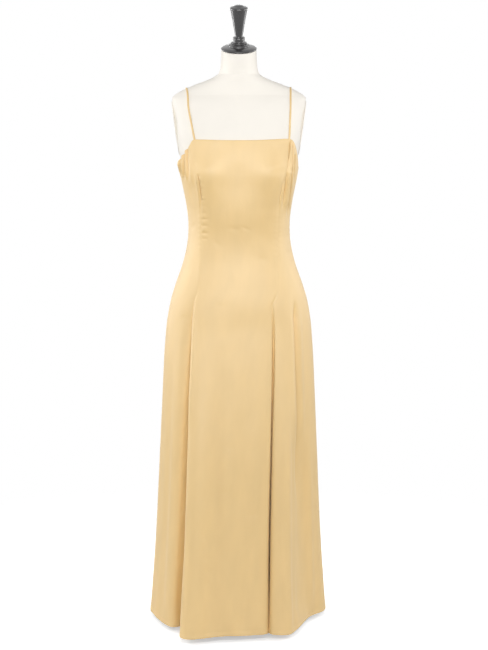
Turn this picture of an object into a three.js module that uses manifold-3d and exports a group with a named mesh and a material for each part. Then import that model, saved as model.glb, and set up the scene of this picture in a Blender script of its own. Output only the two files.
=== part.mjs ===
// A satin maxi dress with thin shoulder straps, worn by a limbless dress form on a round stand.
// Units are millimetres. +Z is up, the front faces -Y, the floor is z = 0 and the stand's pole
// is on the Z axis. Left and right are the wearer's, so the wearer's right is at -X.
//
// The dress is six gores joined by long seams that run from the top edge to the hem. It fits the
// form down to the hips, where the seams let go of their fullness, and hangs in deep folds below.
// Every gore is a wall of one thickness on one shared surface, clothPoint(), and the form's body
// is the same family of sections without the ease.

import * as THREE from 'three';
import { mergeVertices } from 'three/addons/utils/BufferGeometryUtils.js';
import Module from 'manifold-3d';

const wasm = await Module();
wasm.setup();

// ---------------------------------------------------------------- driving sizes

const HEM_Z = 18;               // the hem hangs this far above the floor
const NECKLINE_Z = 1292;        // the straight front edge
const FOLD_TOP_Z = 905;         // the seams let go of their fullness here
const FOLD_GROWTH = 1.1;        // how the folds deepen on the way down, 1 is a straight line
const CLOTH = 1.6;              // thickness of the wall that stands for satin and its seam turnings
const SEAM_GAP = 0.3;           // between two pieces that are sewn together, or that touch
const SHARPEST_MITRE = 0.3;     // a sharp bend in the wall is blunted below this
const EASE = 4;                 // from the form to the middle of the cloth
const SLACK = { z: 1095, depth: 13, reach: 75 };   // the front spans the hollow under the bust
const COLUMN_STEP = 30;         // widest step between columns of the wall, measured at the hem

const BUST_Z = 1204;
const BUST_APART = 84;          // from the centre front to each fullest point
const BUST_FULLNESS = 9;
const BUST_SPREAD = { across: 36, up: 34, clothDown: 100 };   // cloth spans further below it

const STRAP_WIDTH = 5.5;
const STRAP_THICKNESS = 3.2;
const STRAP_CLEARANCE = 1.7;    // from the strap's underside to the form
const STRAP_TURN_STEPS = 12;    // pieces of its turn over the shoulder
const STRAP_RISE = [0, 0.33, 0.66];   // shares of the climb to the shoulder that its path is held at
const STRAP_SLANT = 0.3;         // share of its sideways run that lies on the turn
const STRAP_STEPS = 34;
const STRAP_SIDES = 8;

const TORSO_BOTTOM_Z = 730;
const TORSO_SEGMENTS = 36;
const NECK_TOP_Z = 1523.5;
const NECK_TILT = THREE.MathUtils.degToRad(19);   // the neck's top leans forward
const NECK_LEAN_FROM_Z = 1440;
const NECK_FORWARD = 9;         // the neck's top stands this far in front of its root

const ARM_PLATE = { top: 1392, bottom: 1252, halfDepth: 46, thickness: 2.4, bevel: 0.8 };
const ARM_CUT = { topZ: 1389, topX: 173.2, bottomZ: 1265, bottomX: 156 };
const ARM_CUTTER = { x: 230, y: 260, z: 60 };   // a block that reaches past the side it cuts flat

const POLE_RADIUS = 14;
const POLE_SEGMENTS = 24;
const BASE_RADIUS = 145;
const BASE_THICKNESS = 12;
const BASE_EDGE = { chamfer: 3, arris: 1 };     // at its top and at its underside
const ROUND_SEGMENTS = 24;

// ---------------------------------------------------------------- tables

// Sections of the form: half its width, its depth in front of and behind the Z axis, and how
// square the section is (2 is an ellipse).
const FORM_SECTIONS = [
  { z: 730, half: 164, front: 92, back: 106, square: 2.2 },
  { z: 745, half: 177, front: 101, back: 119, square: 2.2 },
  { z: 788, half: 183, front: 108, back: 130, square: 2.2 },
  { z: 853, half: 179, front: 110, back: 134, square: 2.2 },
  { z: 885, half: 172.5, front: 108, back: 130, square: 2.2 },
  { z: 917, half: 162.5, front: 104, back: 122, square: 2.2 },
  { z: 949, half: 150.5, front: 99, back: 112, square: 2.2 },
  { z: 981, half: 140.5, front: 94, back: 102, square: 2.25 },
  { z: 1012, half: 133.5, front: 90, back: 93, square: 2.3 },
  { z: 1044, half: 129.5, front: 87, back: 86, square: 2.3 },
  { z: 1076, half: 129, front: 87, back: 82, square: 2.3 },
  { z: 1108, half: 132, front: 90, back: 84, square: 2.3 },
  { z: 1139, half: 137, front: 95, back: 90, square: 2.4 },
  { z: 1171, half: 143.5, front: 101, back: 97, square: 2.5 },
  { z: 1202, half: 149.5, front: 107, back: 102, square: 2.6 },
  { z: 1233, half: 154, front: 108, back: 106, square: 2.6 },
  { z: 1265, half: 159, front: 105, back: 109, square: 2.7 },
  { z: 1296, half: 165, front: 99, back: 110, square: 2.8 },
  { z: 1327, half: 170, front: 91, back: 108, square: 2.8 },
  { z: 1358, half: 174.5, front: 80, back: 101, square: 2.7 },
  { z: 1382, half: 177, front: 69, back: 88, square: 2.6 },
  { z: 1396, half: 176.5, front: 61, back: 76, square: 2.5 },
  { z: 1406, half: 169, front: 55, back: 68, square: 2.4 },
  { z: 1420, half: 146, front: 52, back: 62, square: 2.3 },
  { z: 1435, half: 110.5, front: 51, back: 58, square: 2.2 },
  { z: 1449, half: 74, front: 52, back: 56, square: 2.1 },
  { z: 1463, half: 53, front: 51, back: 54, square: 2 },
  { z: 1482, half: 47.5, front: 49, back: 51, square: 2 },
  { z: 1523.5, half: 45.5, front: 47, back: 47, square: 2 },
];

// Sections of the skirt before its folds, below the hips where it hangs free of the form.
const SKIRT_SECTIONS = [
  { z: 18, half: 208, front: 172, back: 168, square: 2.15 },
  { z: 300, half: 199, front: 150, back: 158, square: 2.15 },
  { z: 500, half: 197, front: 138, back: 152, square: 2.15 },
  { z: 711, half: 193, front: 122, back: 144, square: 2.2 },
  { z: 776, half: 190.5, front: 117, back: 140, square: 2.2 },
  { z: 808, half: 188.5, front: 115, back: 139.5, square: 2.2 },
];

// The hem seen from above. turn is the angle round the body, from the centre front towards the
// wearer's left, of the same thread of cloth at the hips. A row with a seam starts a new gore.
const HEM_RING = [
  { turn: -38.5, x: -126, y: -96, seam: 'right_front' },
  { turn: -38.1, x: -129.5, y: -100 },
  { turn: -37.5, x: -137, y: -142 },
  { turn: -37, x: -152, y: -193 },
  { turn: -36, x: -151, y: -213 },
  { turn: -34, x: -141, y: -230 },
  { turn: -30, x: -122, y: -238 },
  { turn: -24, x: -98, y: -232 },
  { turn: -17, x: -70, y: -223 },
  { turn: -8, x: -35, y: -214 },
  { turn: 2, x: 5, y: -212 },
  { turn: 12, x: 40, y: -205 },
  { turn: 20, x: 62, y: -199 },
  { turn: 24.5, x: 74.5, y: -180 },
  { turn: 25.5, x: 76.5, y: -144 },
  { turn: 26.1, x: 77.5, y: -121 },
  { turn: 26.5, x: 79.5, y: -118, seam: 'left_front' },
  { turn: 26.9, x: 81.5, y: -121 },
  { turn: 27.5, x: 81.5, y: -144 },
  { turn: 28.5, x: 80.5, y: -176 },
  { turn: 31, x: 88.5, y: -194 },
  { turn: 35, x: 106, y: -204 },
  { turn: 39, x: 128, y: -203 },
  { turn: 43, x: 144, y: -180 },
  { turn: 47, x: 166, y: -126 },
  { turn: 51, x: 183, y: -76 },
  { turn: 60, x: 203, y: -45 },
  { turn: 72, x: 226, y: -21 },
  { turn: 82, x: 236, y: 8 },
  { turn: 92, x: 232, y: 42, seam: 'left_side' },
  { turn: 101, x: 216, y: 74 },
  { turn: 110, x: 202, y: 102 },
  { turn: 120, x: 192, y: 132 },
  { turn: 130, x: 172, y: 164 },
  { turn: 139, x: 146, y: 185 },
  { turn: 145.5, x: 122, y: 185 },
  { turn: 148.2, x: 106, y: 166 },
  { turn: 149, x: 101.5, y: 137 },
  { turn: 149.6, x: 100, y: 111 },
  { turn: 150, x: 97, y: 108, seam: 'left_back' },
  { turn: 150.4, x: 94, y: 111 },
  { turn: 151, x: 91.5, y: 137 },
  { turn: 151.8, x: 87, y: 167 },
  { turn: 155, x: 69, y: 190 },
  { turn: 163, x: 43, y: 201 },
  { turn: 172, x: 17, y: 194 },
  { turn: 180, x: -7, y: 187 },
  { turn: 188, x: -32, y: 195 },
  { turn: 197, x: -59, y: 206 },
  { turn: 205, x: -84, y: 197 },
  { turn: 208.2, x: -98, y: 172 },
  { turn: 209, x: -101.5, y: 140 },
  { turn: 209.6, x: -103, y: 114 },
  { turn: 210, x: -106, y: 111, seam: 'right_back' },
  { turn: 210.4, x: -109, y: 114 },
  { turn: 211, x: -111, y: 140 },
  { turn: 212, x: -116, y: 167 },
  { turn: 216, x: -134, y: 185 },
  { turn: 224, x: -160, y: 180 },
  { turn: 234, x: -187, y: 153 },
  { turn: 245, x: -208, y: 117 },
  { turn: 257, x: -227, y: 74 },
  { turn: 268, x: -241, y: 30, seam: 'right_side' },
  { turn: 276, x: -241, y: -8 },
  { turn: 288, x: -225, y: -60 },
  { turn: 298, x: -208, y: -100 },
  { turn: 306, x: -192, y: -127 },
  { turn: 313, x: -174, y: -137 },
  { turn: 317.5, x: -158, y: -127 },
  { turn: 320, x: -141, y: -108 },
  { turn: 321.1, x: -130, y: -96.5 },
];

// The gores in the order of the hem ring, each from its own seam to the next.
const GORES = [
  'front_centre', 'front_side_left', 'back_side_left', 'back_centre', 'back_side_right', 'front_side_right',
];

// Where each seam runs above the folds: x by height. The side seams keep their turn.
const SEAM_LINES = {
  right_front: [
    { z: 870, x: -117 }, { z: 897, x: -109 }, { z: 925, x: -102 }, { z: 966, x: -98 },
    { z: 1034, x: -95.5 }, { z: 1086, x: -96 }, { z: 1147, x: -99 }, { z: 1186, x: -104 },
    { z: 1226, x: -111.5 }, { z: 1292, x: -116 },
  ],
  left_front: [
    { z: 856, x: 89 }, { z: 885, x: 95 }, { z: 915, x: 100 }, { z: 975, x: 101 }, { z: 1060, x: 101.5 },
    { z: 1111, x: 103 }, { z: 1162, x: 110 }, { z: 1203, x: 122.5 }, { z: 1239, x: 128 },
    { z: 1292, x: 132 },
  ],
  left_back: [
    { z: 880, x: 92 }, { z: 981, x: 82 }, { z: 1060, x: 78 }, { z: 1139, x: 88 }, { z: 1215, x: 104 },
  ],
  right_back: [
    { z: 880, x: -92 }, { z: 981, x: -82 }, { z: 1060, x: -78 }, { z: 1139, x: -88 }, { z: 1215, x: -104 },
  ],
};

// Height of the top edge by turn: straight across the front, cut away under the arms, level behind.
const TOP_EDGE = [
  { turn: -180, z: 1208 }, { turn: -120, z: 1211 }, { turn: -92, z: 1217 }, { turn: -80, z: 1224 },
  { turn: -68, z: 1240 }, { turn: -57, z: 1252 }, { turn: -48, z: 1266 }, { turn: -42.5, z: 1277 },
  { turn: -38.5, z: 1288 }, { turn: -35, z: 1291 }, { turn: 0, z: 1289 }, { turn: 44, z: 1293 },
  { turn: 49, z: 1289 }, { turn: 58, z: 1270 }, { turn: 65, z: 1252 }, { turn: 80, z: 1223 },
  { turn: 92, z: 1217 }, { turn: 120, z: 1211 }, { turn: 180, z: 1208 },
];

// Rows of the wall, from the hem up. Those above the waist are drawn in to meet the top edge.
const WAIST_Z = 1045;
const ROWS_Z = [
  HEM_Z, 60, 130, 220, 320, 420, 520, 610, 690, 755, 810, 850, 880, 905, 935, 970, 1005,
  WAIST_Z, 1085, 1125, 1160, 1190, 1216, 1242, 1268, NECKLINE_Z,
];

// Outline of the turned wooden cap and of its handle: radius by height over the neck's top.
const CAP_PROFILE = [
  { r: 0, z: 0 }, { r: 45.5, z: 0 }, { r: 46.8, z: 1.4 }, { r: 46, z: 3.6 }, { r: 40, z: 6.8 },
  { r: 30, z: 9.2 }, { r: 27.5, z: 10.4 }, { r: 26.5, z: 12.4 }, { r: 23, z: 13.2 }, { r: 22, z: 15.2 },
  { r: 0, z: 15.2 },
];
const HANDLE_PROFILE = [
  { r: 0, z: 15.6 }, { r: 20.2, z: 15.6 }, { r: 21, z: 17 }, { r: 20, z: 18.6 }, { r: 16.2, z: 19.8 },
  { r: 15.9, z: 21 }, { r: 15.9, z: 30 }, { r: 14.4, z: 32 }, { r: 11, z: 33 }, { r: 10.8, z: 36 },
  { r: 12, z: 45 }, { r: 15, z: 63 }, { r: 18.2, z: 81 }, { r: 22.6, z: 102.4 }, { r: 23.5, z: 105.6 },
  { r: 22.4, z: 108.4 }, { r: 16.8, z: 110.8 }, { r: 10.4, z: 113.4 }, { r: 5.6, z: 114.7 },
  { r: 0, z: 115 },
];

// ---------------------------------------------------------------- materials

const satin = new THREE.MeshStandardMaterial({ color: 0xe9cc97, roughness: 0.42, metalness: 0 });
const canvas = new THREE.MeshStandardMaterial({ color: 0xf4efe4, roughness: 0.9, metalness: 0 });
const blackWood = new THREE.MeshStandardMaterial({ color: 0x2b2a2c, roughness: 0.3, metalness: 0 });
const paintedSteel = new THREE.MeshStandardMaterial({ color: 0x2e2e30, roughness: 0.45, metalness: 0.6 });

// ---------------------------------------------------------------- reading the tables

/** Reads one column of a table at a key, by monotone cubic interpolation between its rows. */
function read(table, key, column, at) {
  const last = table.length - 1;
  if (at <= table[0][key]) return table[0][column];
  if (at >= table[last][key]) return table[last][column];
  let i = 0;
  while (table[i + 1][key] < at) i++;
  const slope = (k) =>
    (table[k + 1][column] - table[k][column]) / (table[k + 1][key] - table[k][key]);
  const tangent = (k) => {
    if (k === 0) return slope(0);
    if (k === last) return slope(last - 1);
    const before = slope(k - 1);
    const after = slope(k);
    return before * after <= 0 ? 0 : (2 * before * after) / (before + after);
  };
  const span = table[i + 1][key] - table[i][key];
  const t = (at - table[i][key]) / span;
  const t2 = t * t;
  const t3 = t2 * t;
  return (2 * t3 - 3 * t2 + 1) * table[i][column] + (t3 - 2 * t2 + t) * span * tangent(i)
    + (3 * t2 - 2 * t3) * table[i + 1][column] + (t3 - t2) * span * tangent(i + 1);
}

const signedPower = (value, power) => Math.sign(value) * Math.abs(value) ** power;

/** A point of a section, at an angle from the centre front towards the wearer's left, in degrees. */
function sectionPoint(table, turn, z, bustDown = BUST_SPREAD.up) {
  const across = Math.sin(THREE.MathUtils.degToRad(turn));
  const ahead = Math.cos(THREE.MathUtils.degToRad(turn));
  const power = 2 / read(table, 'z', 'square', z);
  const x = read(table, 'z', 'half', z) * signedPower(across, power);
  const depth = read(table, 'z', ahead > 0 ? 'front' : 'back', z);
  let y = -depth * signedPower(ahead, power);
  if (ahead > 0) y -= bustSwell(x, z, bustDown);
  return new THREE.Vector3(x, y, z);
}

/** How far the bust stands out of the plain section. down is how far it fades out below. */
function bustSwell(x, z, down = BUST_SPREAD.up) {
  const across = (Math.abs(x) - BUST_APART) / BUST_SPREAD.across;
  const up = (z - BUST_Z) / (z > BUST_Z ? BUST_SPREAD.up : down);
  return BUST_FULLNESS * Math.exp(-across * across - up * up);
}

/** The turn at which a section has a given x, on its front or on its back. */
function turnOfX(table, x, z, behind) {
  const share = Math.min(1, Math.abs(x) / read(table, 'z', 'half', z));
  const turn = THREE.MathUtils.radToDeg(Math.asin(share ** (read(table, 'z', 'square', z) / 2)));
  const signed = Math.sign(x) * turn;
  return behind ? 180 - signed : signed;
}

// ---------------------------------------------------------------- the surface of the cloth

const CLOTH_SECTIONS = [
  ...SKIRT_SECTIONS,
  ...FORM_SECTIONS.filter((row) => row.z > 840 && row.z < 1340).map((row) => ({
    z: row.z,
    half: row.half + EASE,
    front: row.front + EASE + SLACK.depth * Math.exp(-(((row.z - SLACK.z) / SLACK.reach) ** 2)),
    back: row.back + EASE,
    square: row.square,
  })),
];

const KNOTS = HEM_RING.length;
const knotTurns = [...HEM_RING, { turn: HEM_RING[0].turn + 360 }]
  .map((row, knot) => ({ knot, turn: row.turn }));
const hemCurve = new THREE.CatmullRomCurve3(
  HEM_RING.map((row) => new THREE.Vector3(row.x, row.y, HEM_Z)), true, 'centripetal');
const seamKnots = HEM_RING.map((row, knot) => ({ knot, name: row.seam })).filter((row) => row.name);

/** The turn of a seam at a height: from its line above the folds, and constant below them. */
function seamTurn(name, hipTurn, z) {
  const line = SEAM_LINES[name];
  if (!line || z <= line[0].z) return hipTurn;
  const turn = turnOfX(CLOTH_SECTIONS, read(line, 'z', 'x', z), z, name.endsWith('back'));
  const near = turn < hipTurn - 180 ? turn + 360 : turn;
  const settle = THREE.MathUtils.smoothstep(z, line[0].z, line[0].z + 30);
  return THREE.MathUtils.lerp(hipTurn, near, settle);
}

/** The gore that holds a knot, with the knots of its two seams. */
function goreAt(knot) {
  const i = seamKnots.findLastIndex((seam) => seam.knot <= knot + 1e-9);
  const next = seamKnots[i + 1] ?? { knot: KNOTS, name: seamKnots[0].name };
  return { start: seamKnots[i], end: next };
}

/** The turn of a thread of cloth at a height. Threads crowd at the seams below the hips only. */
function threadTurn(knot, z, gore = goreAt(knot)) {
  const hip = read(knotTurns, 'knot', 'turn', knot);
  const startHip = knotTurns[gore.start.knot].turn;
  const endHip = knotTurns[gore.end.knot].turn;
  const crowded = (hip - startHip) / (endHip - startHip);
  const even = (knot - gore.start.knot) / (gore.end.knot - gore.start.knot);
  const share = THREE.MathUtils.lerp(crowded, even, THREE.MathUtils.smoothstep(z, 870, 1010));
  const start = seamTurn(gore.start.name, startHip, z);
  const end = seamTurn(gore.end.name, endHip, z);
  return THREE.MathUtils.lerp(start, end, share);
}

/** How much of the hem's folds a height has, from none at the hips to all at the hem. */
function foldShare(z) {
  const down = THREE.MathUtils.clamp((FOLD_TOP_Z - z) / (FOLD_TOP_Z - HEM_Z), 0, 1);
  return down ** FOLD_GROWTH;
}

/** A point in the middle of the cloth, by its thread (a knot of the hem ring) and its height. */
function clothPoint(knot, z, gore) {
  const point = sectionPoint(CLOTH_SECTIONS, threadTurn(knot, z, gore), z, BUST_SPREAD.clothDown);
  const share = foldShare(z);
  if (share > 0) {
    const plainHem = sectionPoint(CLOTH_SECTIONS, read(knotTurns, 'knot', 'turn', knot), HEM_Z);
    point.addScaledVector(hemCurve.getPoint((knot / KNOTS) % 1).sub(plainHem), share);
    point.z = z;
  }
  return point;
}

/** The outward offset of a bend in the cloth, one unit square to the cloth on both sides of it. */
function mitre(before, at, after, up) {
  const one = at.clone().sub(before).cross(up).normalize();
  const other = after.clone().sub(at).cross(up).normalize();
  return one.clone().add(other).divideScalar(Math.max(SHARPEST_MITRE, 1 + one.dot(other)));
}

/** The height of a row of the wall on a thread: rows above the waist are drawn in to the top edge. */
function rowHeight(knot, level, gore) {
  if (level <= WAIST_Z) return level;
  const turn = threadTurn(knot, NECKLINE_Z, gore);
  const edge = read(TOP_EDGE, 'turn', 'z', turn > 180 ? turn - 360 : turn);
  return WAIST_Z + ((level - WAIST_Z) * (edge - WAIST_Z)) / (NECKLINE_Z - WAIST_Z);
}

// ---------------------------------------------------------------- solids from grids

/** A mesh of the triangles of a list of quads over a list of points. */
function meshOf(points, quads, material, name) {
  const indices = [];
  for (const [a, b, c, d] of quads) {
    if (a !== b && b !== c && a !== c) indices.push(a, b, c);
    if (a !== c && c !== d && a !== d) indices.push(a, c, d);
  }
  const geometry = new THREE.BufferGeometry().setFromPoints(points);
  geometry.setIndex(indices);
  geometry.computeVertexNormals();
  return namedMesh(geometry, material, name);
}

function namedMesh(geometry, material, name) {
  const mesh = new THREE.Mesh(geometry, material);
  mesh.name = name;
  return mesh;
}

/** A closed wall on a grid of outer points and a grid of inner points, both [row][column]. */
function wallMesh(outer, inner, material, name) {
  const rows = outer.length;
  const columns = outer[0].length;
  const points = [...outer.flat(), ...inner.flat()];
  const out = (row, column) => row * columns + column;
  const into = (row, column) => rows * columns + out(row, column);
  const quads = [];
  for (let r = 0; r < rows - 1; r++) {
    for (let c = 0; c < columns - 1; c++) {
      quads.push([out(r, c), out(r, c + 1), out(r + 1, c + 1), out(r + 1, c)]);
      quads.push([into(r, c), into(r + 1, c), into(r + 1, c + 1), into(r, c + 1)]);
    }
    quads.push([out(r, 0), out(r + 1, 0), into(r + 1, 0), into(r, 0)]);
    const end = columns - 1;
    quads.push([out(r, end), into(r, end), into(r + 1, end), out(r + 1, end)]);
  }
  for (let c = 0; c < columns - 1; c++) {
    quads.push([out(0, c), into(0, c), into(0, c + 1), out(0, c + 1)]);
    quads.push([out(rows - 1, c), out(rows - 1, c + 1), into(rows - 1, c + 1), into(rows - 1, c)]);
  }
  return meshOf(points, quads, material, name);
}

/** A closed solid through a stack of rings with the same number of points, closed by a point at each end. */
function ringStackMesh(rings, start, end, material, name) {
  const sides = rings[0].length;
  const last = rings.length - 1;
  const points = [...rings.flat(), start, end];
  const at = (ring, side) => ring * sides + (side % sides);
  const startIndex = points.length - 2;
  const endIndex = points.length - 1;
  const quads = [];
  for (let side = 0; side < sides; side++) {
    for (let ring = 0; ring < last; ring++) {
      quads.push([at(ring, side), at(ring, side + 1), at(ring + 1, side + 1), at(ring + 1, side)]);
    }
    quads.push([startIndex, at(0, side + 1), at(0, side), startIndex]);
    quads.push([endIndex, at(last, side), at(last, side + 1), endIndex]);
  }
  return meshOf(points, quads, material, name);
}

/** The threads of a gore: its knots, with more between them where the hem is long. */
function threadsOf(gore) {
  const threads = [];
  for (let knot = gore.start.knot; knot < gore.end.knot; knot++) {
    const next = hemCurve.getPoint(((knot + 1) / KNOTS) % 1);
    const steps = Math.ceil(hemCurve.getPoint(knot / KNOTS).distanceTo(next) / COLUMN_STEP);
    for (let k = 0; k < steps; k++) threads.push(knot + k / steps);
  }
  return [...threads, gore.end.knot];
}

/** The point of a thread in the middle of the cloth on a row of the wall. */
const rowPoint = (thread, level) =>
  clothPoint(thread.knot, rowHeight(thread.knot, level, thread.gore), thread.gore);

/** The threads of a gore, and one of each neighbour beyond its seams. */
function threadsWithNeighbours(seamIndex) {
  const [before, own, after] = [-1, 0, 1].map((step) => {
    const seam = seamKnots[(seamIndex + step + seamKnots.length) % seamKnots.length];
    const gore = goreAt(seam.knot);
    return threadsOf(gore).map((knot) => ({ knot, gore }));
  });
  return [before.at(-2), ...own, after[1]];
}

/** One gore of the dress, from the hem to the top edge. */
function goreMesh(seamIndex) {
  const threads = threadsWithNeighbours(seamIndex);
  const last = threads.length - 2;
  const outer = [];
  const inner = [];
  for (const level of ROWS_Z) {
    const middles = threads.map((thread) => rowPoint(thread, level));
    const outerRow = [];
    const innerRow = [];
    for (let k = 1; k <= last; k++) {
      const { knot, gore } = threads[k];
      const middle = middles[k];
      const up = clothPoint(knot, middle.z + 1, gore).sub(clothPoint(knot, middle.z - 1, gore)).normalize();
      const out = mitre(middles[k - 1], middle, middles[k + 1], up).multiplyScalar(CLOTH / 2);
      const place = middle.clone();
      if (k === 1 || k === last) {
        const acrossSeam = up.clone().cross(out).normalize();
        place.addScaledVector(acrossSeam, (k === 1 ? 1 : -1) * (SEAM_GAP / 2));
      }
      outerRow.push(place.clone().add(out));
      innerRow.push(place.clone().sub(out));
    }
    outer.push(outerRow);
    inner.push(innerRow);
  }
  return wallMesh(outer, inner, satin, GORES[seamIndex]);
}

// ---------------------------------------------------------------- straps

const SHOULDER_CENTRE_Z = 1375;   // the straps turn over the shoulder about this height

/** Whether a point is inside the form's body. */
function insideForm({ x, y, z }) {
  const square = read(FORM_SECTIONS, 'z', 'square', z);
  const depth = read(FORM_SECTIONS, 'z', y < 0 ? 'front' : 'back', z) + (y < 0 ? bustSwell(x, z) : 0);
  const across = Math.abs(x) / read(FORM_SECTIONS, 'z', 'half', z);
  return across ** square + (Math.abs(y) / depth) ** square < 1;
}

/** The point on the form's surface that a ray from inside it meets, found by halving. */
function formSurface(inside, direction) {
  const reach = 160;
  const halvings = 24;
  let distance = 0;
  for (let i = 1; i <= halvings; i++) {
    const further = distance + reach / 2 ** i;
    if (insideForm(inside.clone().addScaledVector(direction, further))) distance = further;
  }
  return inside.clone().addScaledVector(direction, distance);
}

/** The middle of a strap: up the front, over the shoulder and down the back, just off the form. */
function strapPath(frontEnd, crestX, backEnd) {
  const out = STRAP_CLEARANCE + STRAP_THICKNESS / 2;
  const offForm = (x, z, angle) => {
    const direction = new THREE.Vector3(0, -Math.cos(angle), Math.sin(angle));
    return formSurface(new THREE.Vector3(x, 0, z), direction).addScaledVector(direction, out);
  };
  const rise = (end, angle) => STRAP_RISE.map((t) => offForm(
    THREE.MathUtils.lerp(end.x, crestX, (1 - STRAP_SLANT) * t),
    THREE.MathUtils.lerp(end.z, SHOULDER_CENTRE_Z, t), angle));
  const turn = Array.from({ length: STRAP_TURN_STEPS + 1 }, (_, i) => {
    const angle = (Math.PI * i) / STRAP_TURN_STEPS;
    const end = angle < Math.PI / 2 ? frontEnd : backEnd;
    const slant = STRAP_SLANT * Math.abs(Math.cos(angle));
    return offForm(THREE.MathUtils.lerp(crestX, end.x, slant), SHOULDER_CENTRE_Z, angle);
  });
  const points = [...rise(frontEnd, 0), ...turn, ...rise(backEnd, Math.PI).reverse()];
  return new THREE.CatmullRomCurve3(points, false, 'centripetal');
}

/** A narrow strap of oval section that keeps its flat side to the form all along its path. */
function strapMesh(name, frontEnd, crestX, backEnd) {
  const path = strapPath(frontEnd, crestX, backEnd);
  const rings = path.getSpacedPoints(STRAP_STEPS).map((middle, i) => {
    const along = path.getTangentAt(i / STRAP_STEPS);
    const side = new THREE.Vector3(1, 0, 0).projectOnPlane(along).normalize();
    const away = along.clone().cross(side);
    return Array.from({ length: STRAP_SIDES }, (_, k) => {
      const angle = (2 * Math.PI * (k + 0.5)) / STRAP_SIDES;
      return middle.clone()
        .addScaledVector(side, (STRAP_WIDTH / 2) * Math.cos(angle))
        .addScaledVector(away, (STRAP_THICKNESS / 2) * Math.sin(angle));
    });
  });
  return ringStackMesh(rings, path.getPointAt(0), path.getPointAt(1), satin, name);
}

/** A geometry with its shared vertices merged, so that it is one closed surface. */
function closed(geometry) {
  const bare = geometry.clone();
  bare.deleteAttribute('normal');
  bare.deleteAttribute('uv');
  const merged = mergeVertices(bare, 1e-3);
  merged.computeVertexNormals();
  return merged;
}

// ---------------------------------------------------------------- the dress form

function solidOf(geometry) {
  const merged = closed(geometry);
  return new wasm.Manifold(new wasm.Mesh({
    numProp: 3,
    vertProperties: new Float32Array(merged.attributes.position.array),
    triVerts: new Uint32Array(merged.index.array),
  }));
}

function geometryOf(solid) {
  const mesh = solid.getMesh();
  const geometry = new THREE.BufferGeometry();
  geometry.setAttribute('position', new THREE.BufferAttribute(new Float32Array(mesh.vertProperties), 3));
  geometry.setIndex(new THREE.BufferAttribute(new Uint32Array(mesh.triVerts), 1));
  geometry.computeVertexNormals();
  return geometry;
}

/** How far a height of the neck has leaned and tilted, from none at its root to all at its top. */
const neckShare = (z) => THREE.MathUtils.smoothstep(z, NECK_LEAN_FROM_Z, NECK_TOP_Z);

/** The torso, as a closed stack of sections whose neck tilts forward. */
function torsoGeometry() {
  const rings = FORM_SECTIONS.map(({ z }) => Array.from({ length: TORSO_SEGMENTS }, (_, side) => {
    const point = sectionPoint(FORM_SECTIONS, (360 * side) / TORSO_SEGMENTS, z);
    point.z += point.y * Math.tan(NECK_TILT) * neckShare(z);
    point.y -= NECK_FORWARD * neckShare(z);
    return point;
  }));
  const bottom = new THREE.Vector3(0, 0, TORSO_BOTTOM_Z);
  const top = new THREE.Vector3(0, -NECK_FORWARD, NECK_TOP_Z);
  return ringStackMesh(rings, bottom, top, canvas, '').geometry;
}

const armLean = Math.atan2(ARM_CUT.topX - ARM_CUT.bottomX, ARM_CUT.topZ - ARM_CUT.bottomZ);

/** Places something made in the plane of a flat side of the torso: local Z points out of it. */
function onArmCut(object, side, offset) {
  const middleZ = (ARM_PLATE.top + ARM_PLATE.bottom) / 2;
  const x = ARM_CUT.bottomX + (middleZ - ARM_CUT.bottomZ) * Math.tan(armLean);
  object.rotation.set(0, side * (Math.PI / 2 + armLean), 0);
  object.position.set(side * (x + offset * Math.cos(armLean)), 0, middleZ - offset * Math.sin(armLean));
  object.updateMatrixWorld(true);
  return object;
}

/** The torso with a flat side under each shoulder, where an arm would start. */
function torsoMesh() {
  let torso = solidOf(torsoGeometry());
  for (const side of [-1, 1]) {
    const { x, y, z } = ARM_CUTTER;
    const cutter = onArmCut(new THREE.Mesh(new THREE.BoxGeometry(x, y, z)), side, z / 2);
    torso = torso.subtract(solidOf(cutter.geometry.clone().applyMatrix4(cutter.matrixWorld)));
  }
  return namedMesh(geometryOf(torso), canvas, 'torso');
}

/** The covered oval plate on a flat side of the torso. */
function armPlateMesh(name, side) {
  const outline = new THREE.Shape();
  const { top, bottom, halfDepth, thickness, bevel } = ARM_PLATE;
  outline.absellipse(0, 0, (top - bottom) / 2 - bevel, halfDepth - bevel, 0, Math.PI * 2);
  const geometry = new THREE.ExtrudeGeometry(outline, {
    depth: thickness - 2 * bevel,
    curveSegments: 16,
    bevelSegments: 1,
    bevelSize: bevel,
    bevelThickness: bevel,
  });
  return onArmCut(namedMesh(closed(geometry), canvas, name), side, SEAM_GAP + bevel);
}

/** A solid turned on a lathe, standing along +Z. */
function turnedMesh(profile, material, name) {
  const outline = profile.map(({ r, z }) => new THREE.Vector2(r, z));
  const geometry = new THREE.LatheGeometry(outline, ROUND_SEGMENTS).rotateX(Math.PI / 2);
  return namedMesh(closed(geometry), material, name);
}

/** The wooden cap and its handle, square to the neck's tilted top. */
function neckTop() {
  const group = new THREE.Group();
  group.add(turnedMesh(CAP_PROFILE, blackWood, 'neck_cap'));
  group.add(turnedMesh(HANDLE_PROFILE, blackWood, 'cap_handle'));
  group.rotation.set(NECK_TILT, 0, 0);
  group.position.set(0, -NECK_FORWARD, NECK_TOP_Z + SEAM_GAP / Math.cos(NECK_TILT));
  return group;
}

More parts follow.
